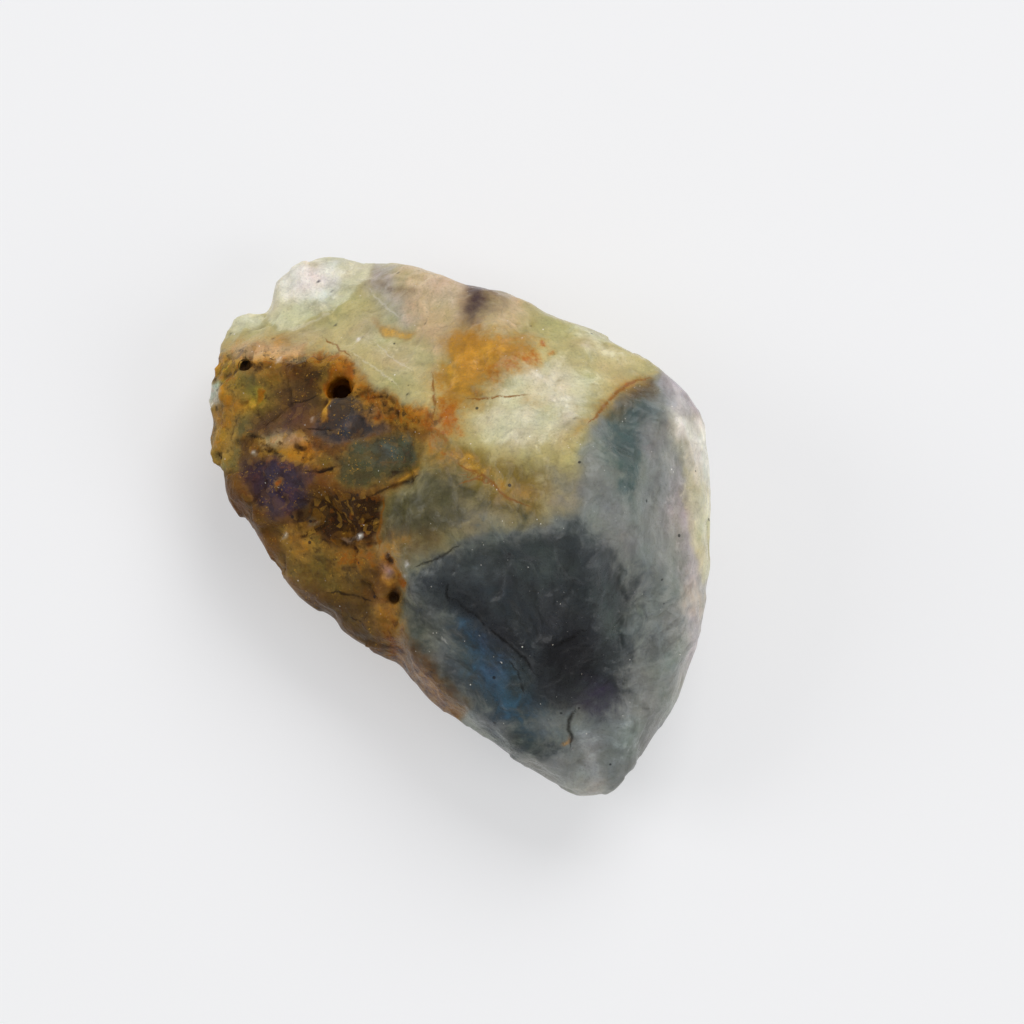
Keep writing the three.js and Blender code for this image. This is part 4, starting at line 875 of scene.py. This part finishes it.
def dress_surface(settings):
    """The stone's mesh, worn and with the places of its colours kept on it."""
    surface = Surface(stone_mesh(settings))
    surface.points = surface.evened(NET_ROUNDS)
    count = len(surface.points)
    upward = smooth_step(MARKS_END, MARKS_WHOLE, surface.normals()[:, 2])
    line_x, line_y = strayed(surface.points, VEIN_STRAY)
    depth = np.zeros(count)
    for kind, veins in VEINS.items():
        offset, half, groove = lay_veins(veins, line_x, line_y, upward)
        surface.store(f"{kind}_vein_offset", offset)
        surface.store(f"{kind}_vein_half", half)
        depth += groove
    x, y = strayed(surface.points, AREA_STRAY)
    areas = [area for group in AREAS for area in group.values()]
    for stain in STAINS:
        covers = [cover_of(area, x, y) for area in areas if area.stain == stain.name]
        surface.store(f"stain_{stain.name}", union_of(covers, count))
    rough = union_of([cover_of(area, x, y) for area in ROUGH_GROUND.values()], count)
    surface.store("rough_ground", rough)

    wear(surface, settings, rough, depth)
    normals = surface.normals()
    surface.store("hollow", ((surface.evened(HOLLOW_ROUNDS) - surface.points) * normals).sum(axis=1))
    surface.mesh.polygons.foreach_set("use_smooth", np.ones(len(surface.mesh.polygons), bool))
    surface.mesh.update()
    return surface.mesh


def feed(tree, made, inputs):
    """Gives a node its inputs: values, or links to other nodes' outputs, by socket."""
    for socket, value in inputs.items():
        if isinstance(value, bpy.types.NodeSocket):
            tree.links.new(value, made.inputs[socket])
        else:
            made.inputs[socket].default_value = value


def add_node(tree, kind, inputs=None, **settings):
    """A new node: settings are its own, and inputs are values or other nodes' outputs by socket."""
    made = tree.nodes.new(kind)
    for name, value in settings.items():
        setattr(made, name, value)
    feed(tree, made, inputs or {})
    return made


def calc(tree, operation, *values, clamp=False):
    """The result of one sum, product or other operation on values or outputs."""
    made = add_node(tree, "ShaderNodeMath", dict(enumerate(values)), operation=operation, use_clamp=clamp)
    return made.outputs[0]


def calc_vector(tree, operation, *values):
    """The result of one operation on places or directions."""
    return add_node(tree, "ShaderNodeVectorMath", dict(enumerate(values)), operation=operation).outputs[0]


# The sockets that a Mix node uses for colours.
MIX_FACTOR = 0
MIX_UNDER = 6
MIX_OVER = 7
MIX_RESULT = 2


def blend(tree, factor, under, over, mode="MIX"):
    """One colour over another, by a factor."""
    made = add_node(
        tree, "ShaderNodeMix", {MIX_FACTOR: factor, MIX_UNDER: under, MIX_OVER: over},
        data_type="RGBA", blend_type=mode)
    return made.outputs[MIX_RESULT]


def ramp(tree, value, low, high, to_low=0.0, to_high=1.0):
    """A value brought softly from one range to another, held at its ends."""
    made = add_node(
        tree, "ShaderNodeMapRange",
        {"Value": value, "From Min": low, "From Max": high, "To Min": to_low, "To Max": to_high},
        interpolation_type="SMOOTHSTEP")
    return made.outputs["Result"]


# Each noise has its waves for each unit of its place, its finer octaves, and how strong those are. The
# unit is a millimetre on the stone, a metre on the floor, and a wave of the fan in the streaks.
Waves = namedtuple("Waves", "scale detail roughness")
BEND_WAVES = Waves(0.28, 2.0, 0.5)
CLOUD_WAVES = Waves(0.35, 4.0, 0.55)
WISP_WAVES = Waves(0.9, 4.0, 0.62)
TEAR_WAVES = Waves(1.4, 5.0, 0.68)
GRAIN_WAVES = Waves(6.0, 2.0, 0.65)
GLINT_WAVES = Waves(5.0, 1.0, 0.55)
STREAK_WAVES = Waves(1.0, 3.0, 0.6)
FLOOR_WAVES = Waves(9.0, 2.0, 0.55)


def noise_of(tree, place, waves):
    """The outputs of a noise: a value and a colour."""
    return add_node(
        tree, "ShaderNodeTexNoise",
        {"Vector": place, "Scale": waves.scale, "Detail": waves.detail,
         "Roughness": waves.roughness}).outputs


def cells_of(tree, place, scale):
    """The outputs of a net of cells, with that many of them a millimetre."""
    return add_node(tree, "ShaderNodeTexVoronoi", {"Vector": place, "Scale": scale}).outputs


def chances_of(tree, cells):
    """Three chances for each cell of a net, 0 to 1."""
    return add_node(tree, "ShaderNodeSeparateColor", {"Color": cells["Color"]}).outputs


def stored(tree, name):
    """A value that the mesh keeps for each point."""
    return add_node(tree, "ShaderNodeAttribute", attribute_name=name).outputs["Fac"]


def new_group(name, inputs, outputs):
    """An empty shader node group with named sockets, and its two end nodes."""
    tree = bpy.data.node_groups.new(name, "ShaderNodeTree")
    for way, sockets in (("INPUT", inputs), ("OUTPUT", outputs)):
        for label, kind in sockets.items():
            tree.interface.new_socket(label, in_out=way, socket_type=f"NodeSocket{kind}")
    return tree, tree.nodes.new("NodeGroupInput").outputs, tree.nodes.new("NodeGroupOutput").inputs


# Noise tears a stain where its cover is half, and this brings cover times bare part to 1 there.
EDGE_SCALE = 4.0
TEAR_STRENGTH = 2.2
# The covers between which a stain turns from its thin colour to its full one.
THIN_COVER = 0.35
FULL_COVER = 0.85


def stain_group():
    """Lays one stain over the colour beneath it, torn and thinned along its edges by noise."""
    tree, given, result = new_group(
        "Stain layer",
        {"Under": "Color", "Stain": "Color", "Thin": "Color", "Cover": "Float", "Noise": "Float",
         "Ragged": "Float"},
        {"Colour": "Color"})
    bare = calc(tree, "SUBTRACT", 1.0, given["Cover"])
    edge = calc(tree, "MULTIPLY", calc(tree, "MULTIPLY", given["Cover"], bare), EDGE_SCALE)
    tear = calc(tree, "MULTIPLY", calc(tree, "SUBTRACT", given["Noise"], MIDDLE), given["Ragged"])
    strong = calc(tree, "MULTIPLY", tear, TEAR_STRENGTH)
    torn = calc(tree, "MULTIPLY_ADD", strong, edge, given["Cover"], clamp=True)
    tint = blend(tree, ramp(tree, torn, THIN_COVER, FULL_COVER), given["Thin"], given["Stain"])
    tree.links.new(blend(tree, torn, given["Under"], tint), result["Colour"])
    return tree


# A vein fades out at this many half-widths, and never at nothing, which would leave no range.
VEIN_FADE = 1.5
LEAST_FADE = 0.001
THINNEST_VEIN = 0.01
# The noise below which a vein breaks off, and above which it is whole.
VEIN_GAP = 0.34
VEIN_WHOLE = 0.48


def vein_group():
    """Draws a vein over the colour beneath it, from the signed offset and half-width of its line."""
    tree, given, result = new_group(
        "Vein",
        {"Under": "Color", "Vein": "Color", "Offset": "Float", "Half-width": "Float",
         "Noise": "Float", "Wobble": "Float", "Strength": "Float"},
        {"Colour": "Color"})
    aside = calc(tree, "MULTIPLY", calc(tree, "SUBTRACT", given["Noise"], MIDDLE), given["Wobble"])
    away = calc(tree, "ABSOLUTE", calc(tree, "ADD", given["Offset"], aside))
    outer = calc(tree, "MULTIPLY_ADD", given["Half-width"], VEIN_FADE, LEAST_FADE)
    line = calc(tree, "SUBTRACT", 1.0, ramp(tree, away, 0.0, outer))
    real = calc(tree, "GREATER_THAN", given["Half-width"], THINNEST_VEIN)
    gaps = calc(tree, "MULTIPLY", ramp(tree, given["Noise"], VEIN_GAP, VEIN_WHOLE), given["Strength"])
    cover = calc(tree, "MULTIPLY", calc(tree, "MULTIPLY", line, real), gaps)
    tree.links.new(blend(tree, cover, given["Under"], given["Vein"]), result["Colour"])
    return tree


# The full middle of a speck, in shares of its size.
SPECK_CORE = 0.6


def speck_group():
    """Small round specks in some of the cells of a net."""
    tree, given, result = new_group(
        "Specks",
        {"Place": "Vector", "Density": "Float", "Size": "Float", "Share": "Float"},
        {"Cover": "Float"})
    cells = cells_of(tree, given["Place"], given["Density"])
    chosen = calc(tree, "LESS_THAN", chances_of(tree, cells)[0], given["Share"])
    core = calc(tree, "MULTIPLY", given["Size"], SPECK_CORE)
    dot = calc(tree, "SUBTRACT", 1.0, ramp(tree, cells["Distance"], core, given["Size"]))
    tree.links.new(calc(tree, "MULTIPLY", dot, chosen), result["Cover"])
    return tree


def grouped(tree, group, inputs):
    """The outputs of a node group placed with these inputs."""
    made = tree.nodes.new("ShaderNodeGroup")
    made.node_tree = group
    feed(tree, made, inputs)
    return made.outputs


def solid(colour):
    """A colour with its alpha."""
    return (*colour, 1.0)


# Patterns
# Cells a millimetre in each net of cells.
KNOCK_SCALE = 1.2
FLAKE_SCALE = 0.9
CRUMB_SCALE = 2.2
# How far the slow bend pushes a pattern, in millimetres.
FAR_BEND = 3.2
NEAR_BEND = 1.6
Patterns = namedtuple("Patterns", "place bend swayed cloud wisp tear grain knocks rough hollow rusty")


def stone_patterns(tree):
    """The noises, and the values kept on the mesh, that the colours and the skin are made of."""
    place = add_node(
        tree, "ShaderNodeVectorMath",
        {0: add_node(tree, "ShaderNodeTexCoord").outputs["Object"], "Scale": 1 / MM},
        operation="SCALE").outputs[0]
    bend = noise_of(tree, place, BEND_WAVES)["Color"]
    bent = calc_vector(tree, "MULTIPLY_ADD", bend, (FAR_BEND, FAR_BEND, FAR_BEND), place)
    return Patterns(
        place=place,
        bend=bend,
        swayed=calc_vector(tree, "MULTIPLY_ADD", bend, (NEAR_BEND, NEAR_BEND, NEAR_BEND), place),
        cloud=noise_of(tree, bent, CLOUD_WAVES)["Fac"],
        wisp=noise_of(tree, bent, WISP_WAVES)["Fac"],
        tear=noise_of(tree, place, TEAR_WAVES)["Fac"],
        grain=noise_of(tree, place, GRAIN_WAVES)["Fac"],
        knocks=cells_of(tree, bent, KNOCK_SCALE)["Distance"],
        rough=stored(tree, "rough_ground"),
        hollow=stored(tree, "hollow"),
        rusty=stored(tree, "stain_umber"))


# Streaks fan out from a point in plan: waves a radian, and waves a millimetre along them.
Fan = namedtuple("Fan", "middle fineness stretch")
FLANK_FAN = Fan((9.0, -40.0), 34.0, 0.10)
CRACK_FAN = Fan((8.4, -15.6), 11.0, 0.35)
FAN_LIFT = 0.3
IN_PLAN = (1.0, 1.0, 0.0)


def fan_streaks(tree, place, fan):
    """Fine streaks that fan out from a point in plan, and change a little with height."""
    middle_x, middle_y = fan.middle
    from_middle = (-middle_x, -middle_y, 0.0)
    flat = calc_vector(tree, "MULTIPLY_ADD", place, IN_PLAN, from_middle)
    distance = add_node(tree, "ShaderNodeVectorMath", {0: flat}, operation="LENGTH").outputs["Value"]
    height = add_node(tree, "ShaderNodeSeparateXYZ", {"Vector": place}).outputs[2]
    depth = calc(tree, "MULTIPLY_ADD", height, FAN_LIFT, calc(tree, "MULTIPLY", distance, fan.stretch))
    lift = add_node(tree, "ShaderNodeCombineXYZ", {2: depth}).outputs[0]
    way = calc_vector(tree, "NORMALIZE", flat)
    fanned = calc_vector(tree, "MULTIPLY_ADD", way, (fan.fineness, fan.fineness, 0.0), lift)
    return noise_of(tree, fanned, STREAK_WAVES)["Fac"]


def stained(tree, patterns, body, stains):
    """The body's colour under all the stains, in their order."""
    colour = solid(body)
    layer = stain_group()
    for stain in STAINS:
        colour = grouped(tree, layer, {
            "Under": colour, "Stain": solid(getattr(stains, stain.name)), "Thin": solid(stain.thin),
            "Cover": stored(tree, f"stain_{stain.name}"), "Noise": getattr(patterns, stain.noise),
            "Ragged": stain.ragged})["Colour"]
    return colour


# How far red, green and blue drift over the stone, and how much further on the rusty end.
DRIFT = (0.36, 0.30, 0.42)
RUSTY_DRIFT = (0.7, 0.5, 1.3)


def drifted(tree, patterns, colour):
    """The colour drifting slowly over the stone, about as much up as down."""
    for share, spread in ((1.0, DRIFT), (patterns.rusty, RUSTY_DRIFT)):
        least = tuple(1 - amount / 2 for amount in spread)
        tint = calc_vector(tree, "MULTIPLY_ADD", patterns.bend, spread, least)
        colour = blend(tree, share, colour, tint, "MULTIPLY")
    return colour


def more_on(tree, mask, added, base):
    """A strength that is the base off the mask and has that much added on it."""
    return calc(tree, "MULTIPLY_ADD", mask, added, base)


# A layer of ink has its pattern, the pattern's values where the ink starts and is full, its strength,
# the mask that it stays within, if any, and the ink's colour.
Layer = namedtuple("Layer", "pattern start full strength mask ink")


def layered(tree, colour, layers):
    """A colour under layers of ink, laid in their order."""
    for layer in layers:
        share = ramp(tree, layer.pattern, layer.start, layer.full, 0.0, layer.strength)
        if layer.mask is not None:
            share = calc(tree, "MULTIPLY", share, layer.mask)
        colour = blend(tree, share, colour, layer.ink)
    return colour


# Where the streaks lie, in millimetres on the part's axes. Each edge is soft: it runs from where the
# streaks are weakest to where they are whole. The flank's is by X, and the two round the tip's crack
# are by Y.
FLANK_EDGE = (10.5, 13.5)
TIP_BACK_EDGE = (-3.0, -7.0)
TIP_FRONT_EDGE = (-16.0, -12.5)
TIP_FRONT_SHARE = 0.2
# The hairlines lie in the clouds: the noise where those start and are whole, and the lines' strength.
HAIRLINE_CLOUDS = (0.46, 0.60)
HAIRLINE_STRENGTH = 0.45


def toned(tree, patterns, colour, lighter, darker):
    """The colour with the clouds, streaks, hairlines and knocks inside the stone."""
    axes = add_node(tree, "ShaderNodeSeparateXYZ", {"Vector": patterns.place}).outputs
    on_flank = ramp(tree, axes[0], *FLANK_EDGE)
    front_edge = ramp(tree, axes[1], *TIP_FRONT_EDGE, TIP_FRONT_SHARE, 1.0)
    by_tip = calc(tree, "MULTIPLY", ramp(tree, axes[1], *TIP_BACK_EDGE), front_edge)
    flank_streak = fan_streaks(tree, patterns.swayed, FLANK_FAN)
    crack_streak = fan_streaks(tree, patterns.swayed, CRACK_FAN)
    hairline = calc(tree, "ABSOLUTE", calc(tree, "SUBTRACT", patterns.wisp, MIDDLE))
    in_clouds = ramp(tree, patterns.cloud, *HAIRLINE_CLOUDS, 0.0, HAIRLINE_STRENGTH)
    mottled = more_on(tree, patterns.rusty, added=0.5, base=0.5)
    grainy = more_on(tree, patterns.rough, added=0.4, base=0.35)
    return layered(tree, colour, (
        Layer(hairline, 0.012, 0.002, 1.0, in_clouds, lighter),
        Layer(patterns.tear, 0.52, 0.68, 0.45, mottled, lighter),
        Layer(patterns.tear, 0.48, 0.34, 0.55, mottled, darker),
        Layer(patterns.cloud, 0.52, 0.68, 0.45, None, lighter),
        Layer(patterns.cloud, 0.46, 0.30, 0.45, None, darker),
        Layer(flank_streak, 0.50, 0.70, 0.60, on_flank, lighter),
        Layer(flank_streak, 0.48, 0.34, 0.40, on_flank, darker),
        Layer(crack_streak, 0.52, 0.70, 0.60, by_tip, lighter),
        Layer(crack_streak, 0.48, 0.32, 0.70, by_tip, darker),
        Layer(patterns.wisp, 0.54, 0.74, 0.50, None, lighter),
        Layer(patterns.knocks, 0.45, 0.95, 0.20, None, darker),
        Layer(patterns.grain, 0.48, 0.28, 0.35, None, lighter),
        Layer(patterns.grain, 0.52, 0.72, 1.0, grainy, darker)))


# How much the noise makes the edge of the dirt and painted shade in the hollows uneven, in millimetres of
# depth.
HOLLOW_TEAR = 0.14
# The dust lies where the wisps are: the noise where those start and are whole, and its strength.
DUST_WISPS = (0.48, 0.60)
DUST_STRENGTH = 0.7


def crusted(tree, patterns, stains, colour, lighter):
    """The colour with flakes, crumbs and dust on the rough ground, dirt and painted shade in its hollows, and
    painted light on raised spots.
    """
    flake = chances_of(tree, cells_of(tree, patterns.swayed, FLAKE_SCALE))
    crumb = chances_of(tree, cells_of(tree, patterns.place, CRUMB_SCALE))
    wispy = ramp(tree, patterns.wisp, *DUST_WISPS, 0.0, DUST_STRENGTH)
    dusty = calc(tree, "MULTIPLY", wispy, patterns.rusty)
    depth = calc(tree, "MULTIPLY_ADD", patterns.tear, HOLLOW_TEAR, patterns.hollow)
    dirt_and_painted_shade = more_on(tree, patterns.rusty, added=0.75, base=0.1)
    painted_light_on_raised = more_on(tree, patterns.rusty, added=0.4, base=0.2)
    return layered(tree, colour, (
        Layer(flake[0], 0.55, 0.90, 0.40, patterns.rough, solid(stains.honey)),
        Layer(flake[1], 0.60, 0.90, 0.60, patterns.rough, solid(stains.clay)),
        Layer(crumb[0], 0.60, 0.85, 0.50, patterns.rough, solid(stains.bark)),
        Layer(crumb[1], 0.84, 0.90, 0.50, patterns.rough, solid(stains.gold)),
        Layer(patterns.tear, 0.55, 0.65, 0.50, patterns.rough, solid(stains.rust)),
        Layer(patterns.tear, 0.44, 0.36, 0.85, patterns.rough, solid(stains.bark)),
        Layer(patterns.grain, 0.60, 0.68, 1.0, dusty, solid(stains.gold)),
        # Dark rust in the hollows, stronger on the rusty end: partly dirt, partly painted shade.
        Layer(depth, 0.085, 0.19, 1.0, dirt_and_painted_shade, solid(stains.bark)),
        # Painted light: raised spots made lighter, more on the rusty end.
        Layer(patterns.hollow, -0.02, -0.12, 1.0, painted_light_on_raised, lighter)))


VEIN_WOBBLE = 0.5
CRACK_SHADE = (0.22, 0.20, 0.18)
VEIN_STRENGTHS = {"pale": 0.22, "rust": 0.9, "dark": 0.9}


def veined(tree, patterns, stains, colour):
    """The colour with its pale fractures, a painted highlight along one ridge, its rust lines and its dark
    cracks.
    """
    vein = vein_group()
    shade = blend(tree, 1.0, colour, solid(CRACK_SHADE), "MULTIPLY")
    inks = {"pale": solid(stains.frost), "rust": solid(RUST_INK), "dark": shade}
    for kind, strength in VEIN_STRENGTHS.items():
        colour = grouped(tree, vein, {
            "Under": colour, "Vein": inks[kind], "Offset": stored(tree, f"{kind}_vein_offset"),
            "Half-width": stored(tree, f"{kind}_vein_half"), "Noise": patterns.tear,
            "Wobble": VEIN_WOBBLE, "Strength": strength})["Colour"]
    return colour


# Dark specks and painted sparks of light: cells a millimetre, radius in shares of a cell, and the share of
# the cells that have one.
DARK_SPECKS = {"Density": 0.8, "Size": 0.13, "Share": 0.16}
SPARKS = {"Density": 1.9, "Size": 0.14, "Share": 0.08}
DARK_SPECK_STRENGTH = 0.8
# The values of each noise between which the painted glints, and the places of the painted glints and sparks,
# fade in.
GLINT_EDGE = (0.76, 0.81)
GLINT_CLOUDS = (0.46, 0.56)
SPARK_TEARS = (0.50, 0.60)


def specked(tree, patterns, stains, colour):
    """The colour with dark specks, and with painted highlights: glints and sparks of light off tiny crystal
    faces.
    """
    specks = speck_group()
    dark = grouped(tree, specks, {"Place": patterns.place, **DARK_SPECKS})["Cover"]
    sparks = grouped(tree, specks, {"Place": patterns.place, **SPARKS})["Cover"]
    colour = blend(tree, calc(tree, "MULTIPLY", dark, DARK_SPECK_STRENGTH), colour, solid(stains.night))
    glints = ramp(tree, noise_of(tree, patterns.place, GLINT_WAVES)["Fac"], *GLINT_EDGE)
    # Painted highlights: the glints within the clouds and the sparks where the tears are, in crystal white.
    for painted_sparkle, where in (
            (glints, ramp(tree, patterns.cloud, *GLINT_CLOUDS)),
            (sparks, ramp(tree, patterns.tear, *SPARK_TEARS))):
        colour = blend(tree, calc(tree, "MULTIPLY", painted_sparkle, where), colour, solid(stains.grain))
    return colour


# Skin of the stone: what light does in it, and how its gloss and its bumps change from place to place.
FLUORITE_IOR = 1.434
GLOW_SPREAD = (1.0, 0.85, 0.6)
CLEAN_SPECULAR = 0.33
RUSTY_SPECULAR_LOSS = 0.2
RUSTY_MILK_LOSS = 0.8
ROUGH_DULLNESS = 0.12
GRAIN_DULLNESS = 0.25
GRAIN_BUMP = 0.03
KNOCK_BUMP = 0.10
TEAR_BUMP = 0.04
ROUGH_BUMP = 0.25
RUSTY_BUMP = 0.22
BUMP_STRENGTH = 0.8


def finish_skin(tree, skin, patterns, settings):
    """Gives the shader its waxy gloss, its fine bumps and its milky depth."""
    dullness = more_on(tree, patterns.rough, added=ROUGH_DULLNESS, base=settings.gloss)
    grainy = calc(tree, "SUBTRACT", patterns.grain, MIDDLE)
    roughness = calc(tree, "MULTIPLY_ADD", grainy, GRAIN_DULLNESS, dullness, clamp=True)
    tree.links.new(roughness, skin.inputs["Roughness"])
    knocked = calc(tree, "MULTIPLY", patterns.knocks, KNOCK_BUMP)
    waxy = calc(tree, "MULTIPLY_ADD", patterns.grain, GRAIN_BUMP, knocked)
    crumbly = more_on(tree, patterns.rough, added=ROUGH_BUMP, base=TEAR_BUMP)
    crumbly = more_on(tree, patterns.rusty, added=RUSTY_BUMP, base=crumbly)
    height = calc(tree, "MULTIPLY_ADD", patterns.tear, crumbly, waxy)
    bump = add_node(tree, "ShaderNodeBump", {"Height": height, "Strength": BUMP_STRENGTH, "Distance": MM})
    tree.links.new(bump.outputs["Normal"], skin.inputs["Normal"])
    specular = more_on(tree, patterns.rusty, added=-RUSTY_SPECULAR_LOSS, base=CLEAN_SPECULAR)
    tree.links.new(specular, skin.inputs["Specular IOR Level"])
    clear = more_on(tree, patterns.rusty, added=-RUSTY_MILK_LOSS, base=1.0)
    tree.links.new(calc(tree, "MULTIPLY", clear, settings.milkiness), skin.inputs["Subsurface Weight"])
    skin.inputs["IOR"].default_value = FLUORITE_IOR
    skin.inputs["Subsurface Radius"].default_value = GLOW_SPREAD
    skin.inputs["Subsurface Scale"].default_value = settings.glow


# Tones by which a stained colour is multiplied to make its lights and its darks; the lighter one is also the
# painted light on raised spots.
LIGHTER = (1.42, 1.42, 1.40)
DARKER = (0.52, 0.51, 0.49)


def stone_material(settings, stains):
    """Waxy, milky fluorite, with its stains, veins, specks and painted glints."""
    material = bpy.data.materials.new("fluorite_wax")
    material.use_nodes = True
    tree = material.node_tree
    skin = tree.nodes["Principled BSDF"]
    patterns = stone_patterns(tree)
    plain = stained(tree, patterns, settings.body, stains)
    lighter = blend(tree, 1.0, plain, solid(LIGHTER), "MULTIPLY")
    darker = blend(tree, 1.0, plain, solid(DARKER), "MULTIPLY")
    colour = drifted(tree, patterns, plain)
    colour = toned(tree, patterns, colour, lighter, darker)
    colour = crusted(tree, patterns, stains, colour, lighter)
    colour = veined(tree, patterns, stains, colour)
    colour = specked(tree, patterns, stains, colour)
    tree.links.new(colour, skin.inputs["Base Color"])
    finish_skin(tree, skin, patterns, settings)
    return material


class FLUORITE_OT_stone(bpy.types.Operator):
    """Builds the stone with its worn surface and its colours"""

    bl_idname = "fluorite.stone"
    bl_label = "Build the stone"

    def execute(self, context):
        settings = context.scene.fluorite_stone
        mesh = dress_surface(settings)
        mesh.materials.clear()
        mesh.materials.append(stone_material(settings, context.scene.fluorite_stains))
        stone = bpy.data.objects.new("fluorite_stone", mesh)
        context.scene.collection.objects.link(stone)
        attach(stone, "root")
        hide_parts(NODE)
        return {"FINISHED"}


# Stage
# Sizes and places are in metres, the lens and its sensor in millimetres.
FLOOR_SIDE = 4.0
AIM = Vector((4.0, 0.47, 7.0)) * MM
KEY_SIZE = 0.9
KEY_PLACE = (0.45, 0.95, 1.05)
SIDE_SIZE = 0.7
SIDE_PLACES = {"left_side": (-1.1, 0.1, 0.7), "right_side": (1.0, -0.5, 0.8)}
ROOM_COLOUR = (0.98, 0.99, 1.0)
LENS_MM = 105
SENSOR_MM = 36
CLIP_START = 0.01
FLOOR_MARK = (0.5, 0.5, 0.5)
FLOOR_MARK_EDGE = (0.3, 0.7)
FLOOR_MARK_STRENGTH = 0.03
TABLE_LIGHT = (1.0, 1.0, 1.0)
FLOOR_ROUGHNESS = 0.85
FLOOR_SPECULAR = 0.1


def floor_material(colour, glow):
    """Matt pale light table with a faint unevenness."""
    material = bpy.data.materials.new("floor_paper")
    material.use_nodes = True
    tree = material.node_tree
    skin = tree.nodes["Principled BSDF"]
    place = add_node(tree, "ShaderNodeTexCoord").outputs["Object"]
    marks = noise_of(tree, place, FLOOR_WAVES)["Fac"]
    uneven = ramp(tree, marks, *FLOOR_MARK_EDGE, 0.0, FLOOR_MARK_STRENGTH)
    tree.links.new(blend(tree, uneven, solid(colour), solid(FLOOR_MARK)), skin.inputs["Base Color"])
    skin.inputs["Emission Color"].default_value = solid(TABLE_LIGHT)
    skin.inputs["Emission Strength"].default_value = glow
    material.cycles.emission_sampling = "NONE"
    skin.inputs["Roughness"].default_value = FLOOR_ROUGHNESS
    skin.inputs["Specular IOR Level"].default_value = FLOOR_SPECULAR
    return material


def add_floor(settings):
    """The pale floor that the stone lies on, which is stage and no part of it."""
    half = FLOOR_SIDE / 2
    corners = [(-half, -half, 0), (half, -half, 0), (half, half, 0), (-half, half, 0)]
    mesh = bpy.data.meshes.new("floor")
    mesh.from_pydata(corners, [], [(0, 1, 2, 3)])
    mesh.materials.append(floor_material(settings.floor, settings.table_glow))
    floor = bpy.data.objects.new("floor", mesh)
    bpy.context.scene.collection.objects.link(floor)


def add_room(settings):
    """The pale light from all round."""
    world = bpy.data.worlds.new("pale_room")
    world.use_nodes = True
    background = world.node_tree.nodes["Background"]
    background.inputs["Color"].default_value = solid(ROOM_COLOUR)
    background.inputs["Strength"].default_value = settings.fill
    bpy.context.scene.world = world


def add_soft_light(name, power, size, place):
    """A square soft light at a place, turned to the stone."""
    data = bpy.data.lights.new(name, "AREA")
    data.energy = power
    data.size = size
    lamp = bpy.data.objects.new(name, data)
    lamp.location = place
    lamp.rotation_mode = "QUATERNION"
    lamp.rotation_quaternion = (AIM - Vector(place)).to_track_quat("-Z", "Y")
    bpy.context.scene.collection.objects.link(lamp)


def add_camera(settings):
    """The camera at the photograph's steep angle."""
    lens = bpy.data.cameras.new("camera")
    lens.lens = LENS_MM
    lens.sensor_width = SENSOR_MM
    lens.clip_start = CLIP_START
    camera = bpy.data.objects.new("camera", lens)
    back = Vector((0, -math.cos(settings.elevation), math.sin(settings.elevation)))
    camera.location = AIM + back * settings.distance
    camera.rotation_mode = "QUATERNION"
    camera.rotation_quaternion = (-back).to_track_quat("-Z", "Y")
    bpy.context.scene.collection.objects.link(camera)
    bpy.context.scene.camera = camera


class FLUORITE_OT_stage(bpy.types.Operator):
    """Adds the pale floor, the soft light and the camera"""

    bl_idname = "fluorite.stage"
    bl_label = "Set the stage"

    def execute(self, context):
        settings = context.scene.fluorite_stage
        add_floor(settings)
        add_room(settings)
        add_soft_light("key", settings.key, KEY_SIZE, KEY_PLACE)
        for name, place in SIDE_PLACES.items():
            add_soft_light(name, settings.side, SIDE_SIZE, place)
        add_camera(settings)
        context.scene.view_settings.view_transform = "Standard"
        return {"FINISHED"}


class FLUORITE_PT_panel(bpy.types.Panel):
    """Lists the stone and its stage"""

    bl_idname = "FLUORITE_PT_panel"
    bl_label = "Rough fluorite"
    bl_space_type = "VIEW_3D"
    bl_region_type = "UI"
    bl_category = "Fluorite"

    def draw(self, context):
        for operator, group in (("fluorite.stone", "fluorite_stone"), ("fluorite.stage", "fluorite_stage")):
            self.layout.operator(operator)
            settings = getattr(context.scene, group)
            for name in settings.__annotations__:
                self.layout.prop(settings, name)
        for stain in STAINS:
            self.layout.prop(context.scene.fluorite_stains, stain.name)


CLASSES = (
    FluoriteStone, FluoriteStains, FluoriteStage,
    FLUORITE_OT_stone, FLUORITE_OT_stage, FLUORITE_PT_panel)


def register():
    """Makes the settings, the operators and the panel known to Blender."""
    for entry in CLASSES:
        bpy.utils.register_class(entry)
    bpy.types.Scene.fluorite_stone = bpy.props.PointerProperty(type=FluoriteStone)
    bpy.types.Scene.fluorite_stains = bpy.props.PointerProperty(type=FluoriteStains)
    bpy.types.Scene.fluorite_stage = bpy.props.PointerProperty(type=FluoriteStage)


def unregister():
    """Takes the settings, the operators and the panel out again."""
    del bpy.types.Scene.fluorite_stone
    del bpy.types.Scene.fluorite_stains
    del bpy.types.Scene.fluorite_stage
    for entry in reversed(CLASSES):
        bpy.utils.unregister_class(entry)


def main():
    """Builds the stone and its stage."""
    register()
    bpy.ops.fluorite.stone()
    bpy.ops.fluorite.stage()


if __name__ == "__main__":
    main()
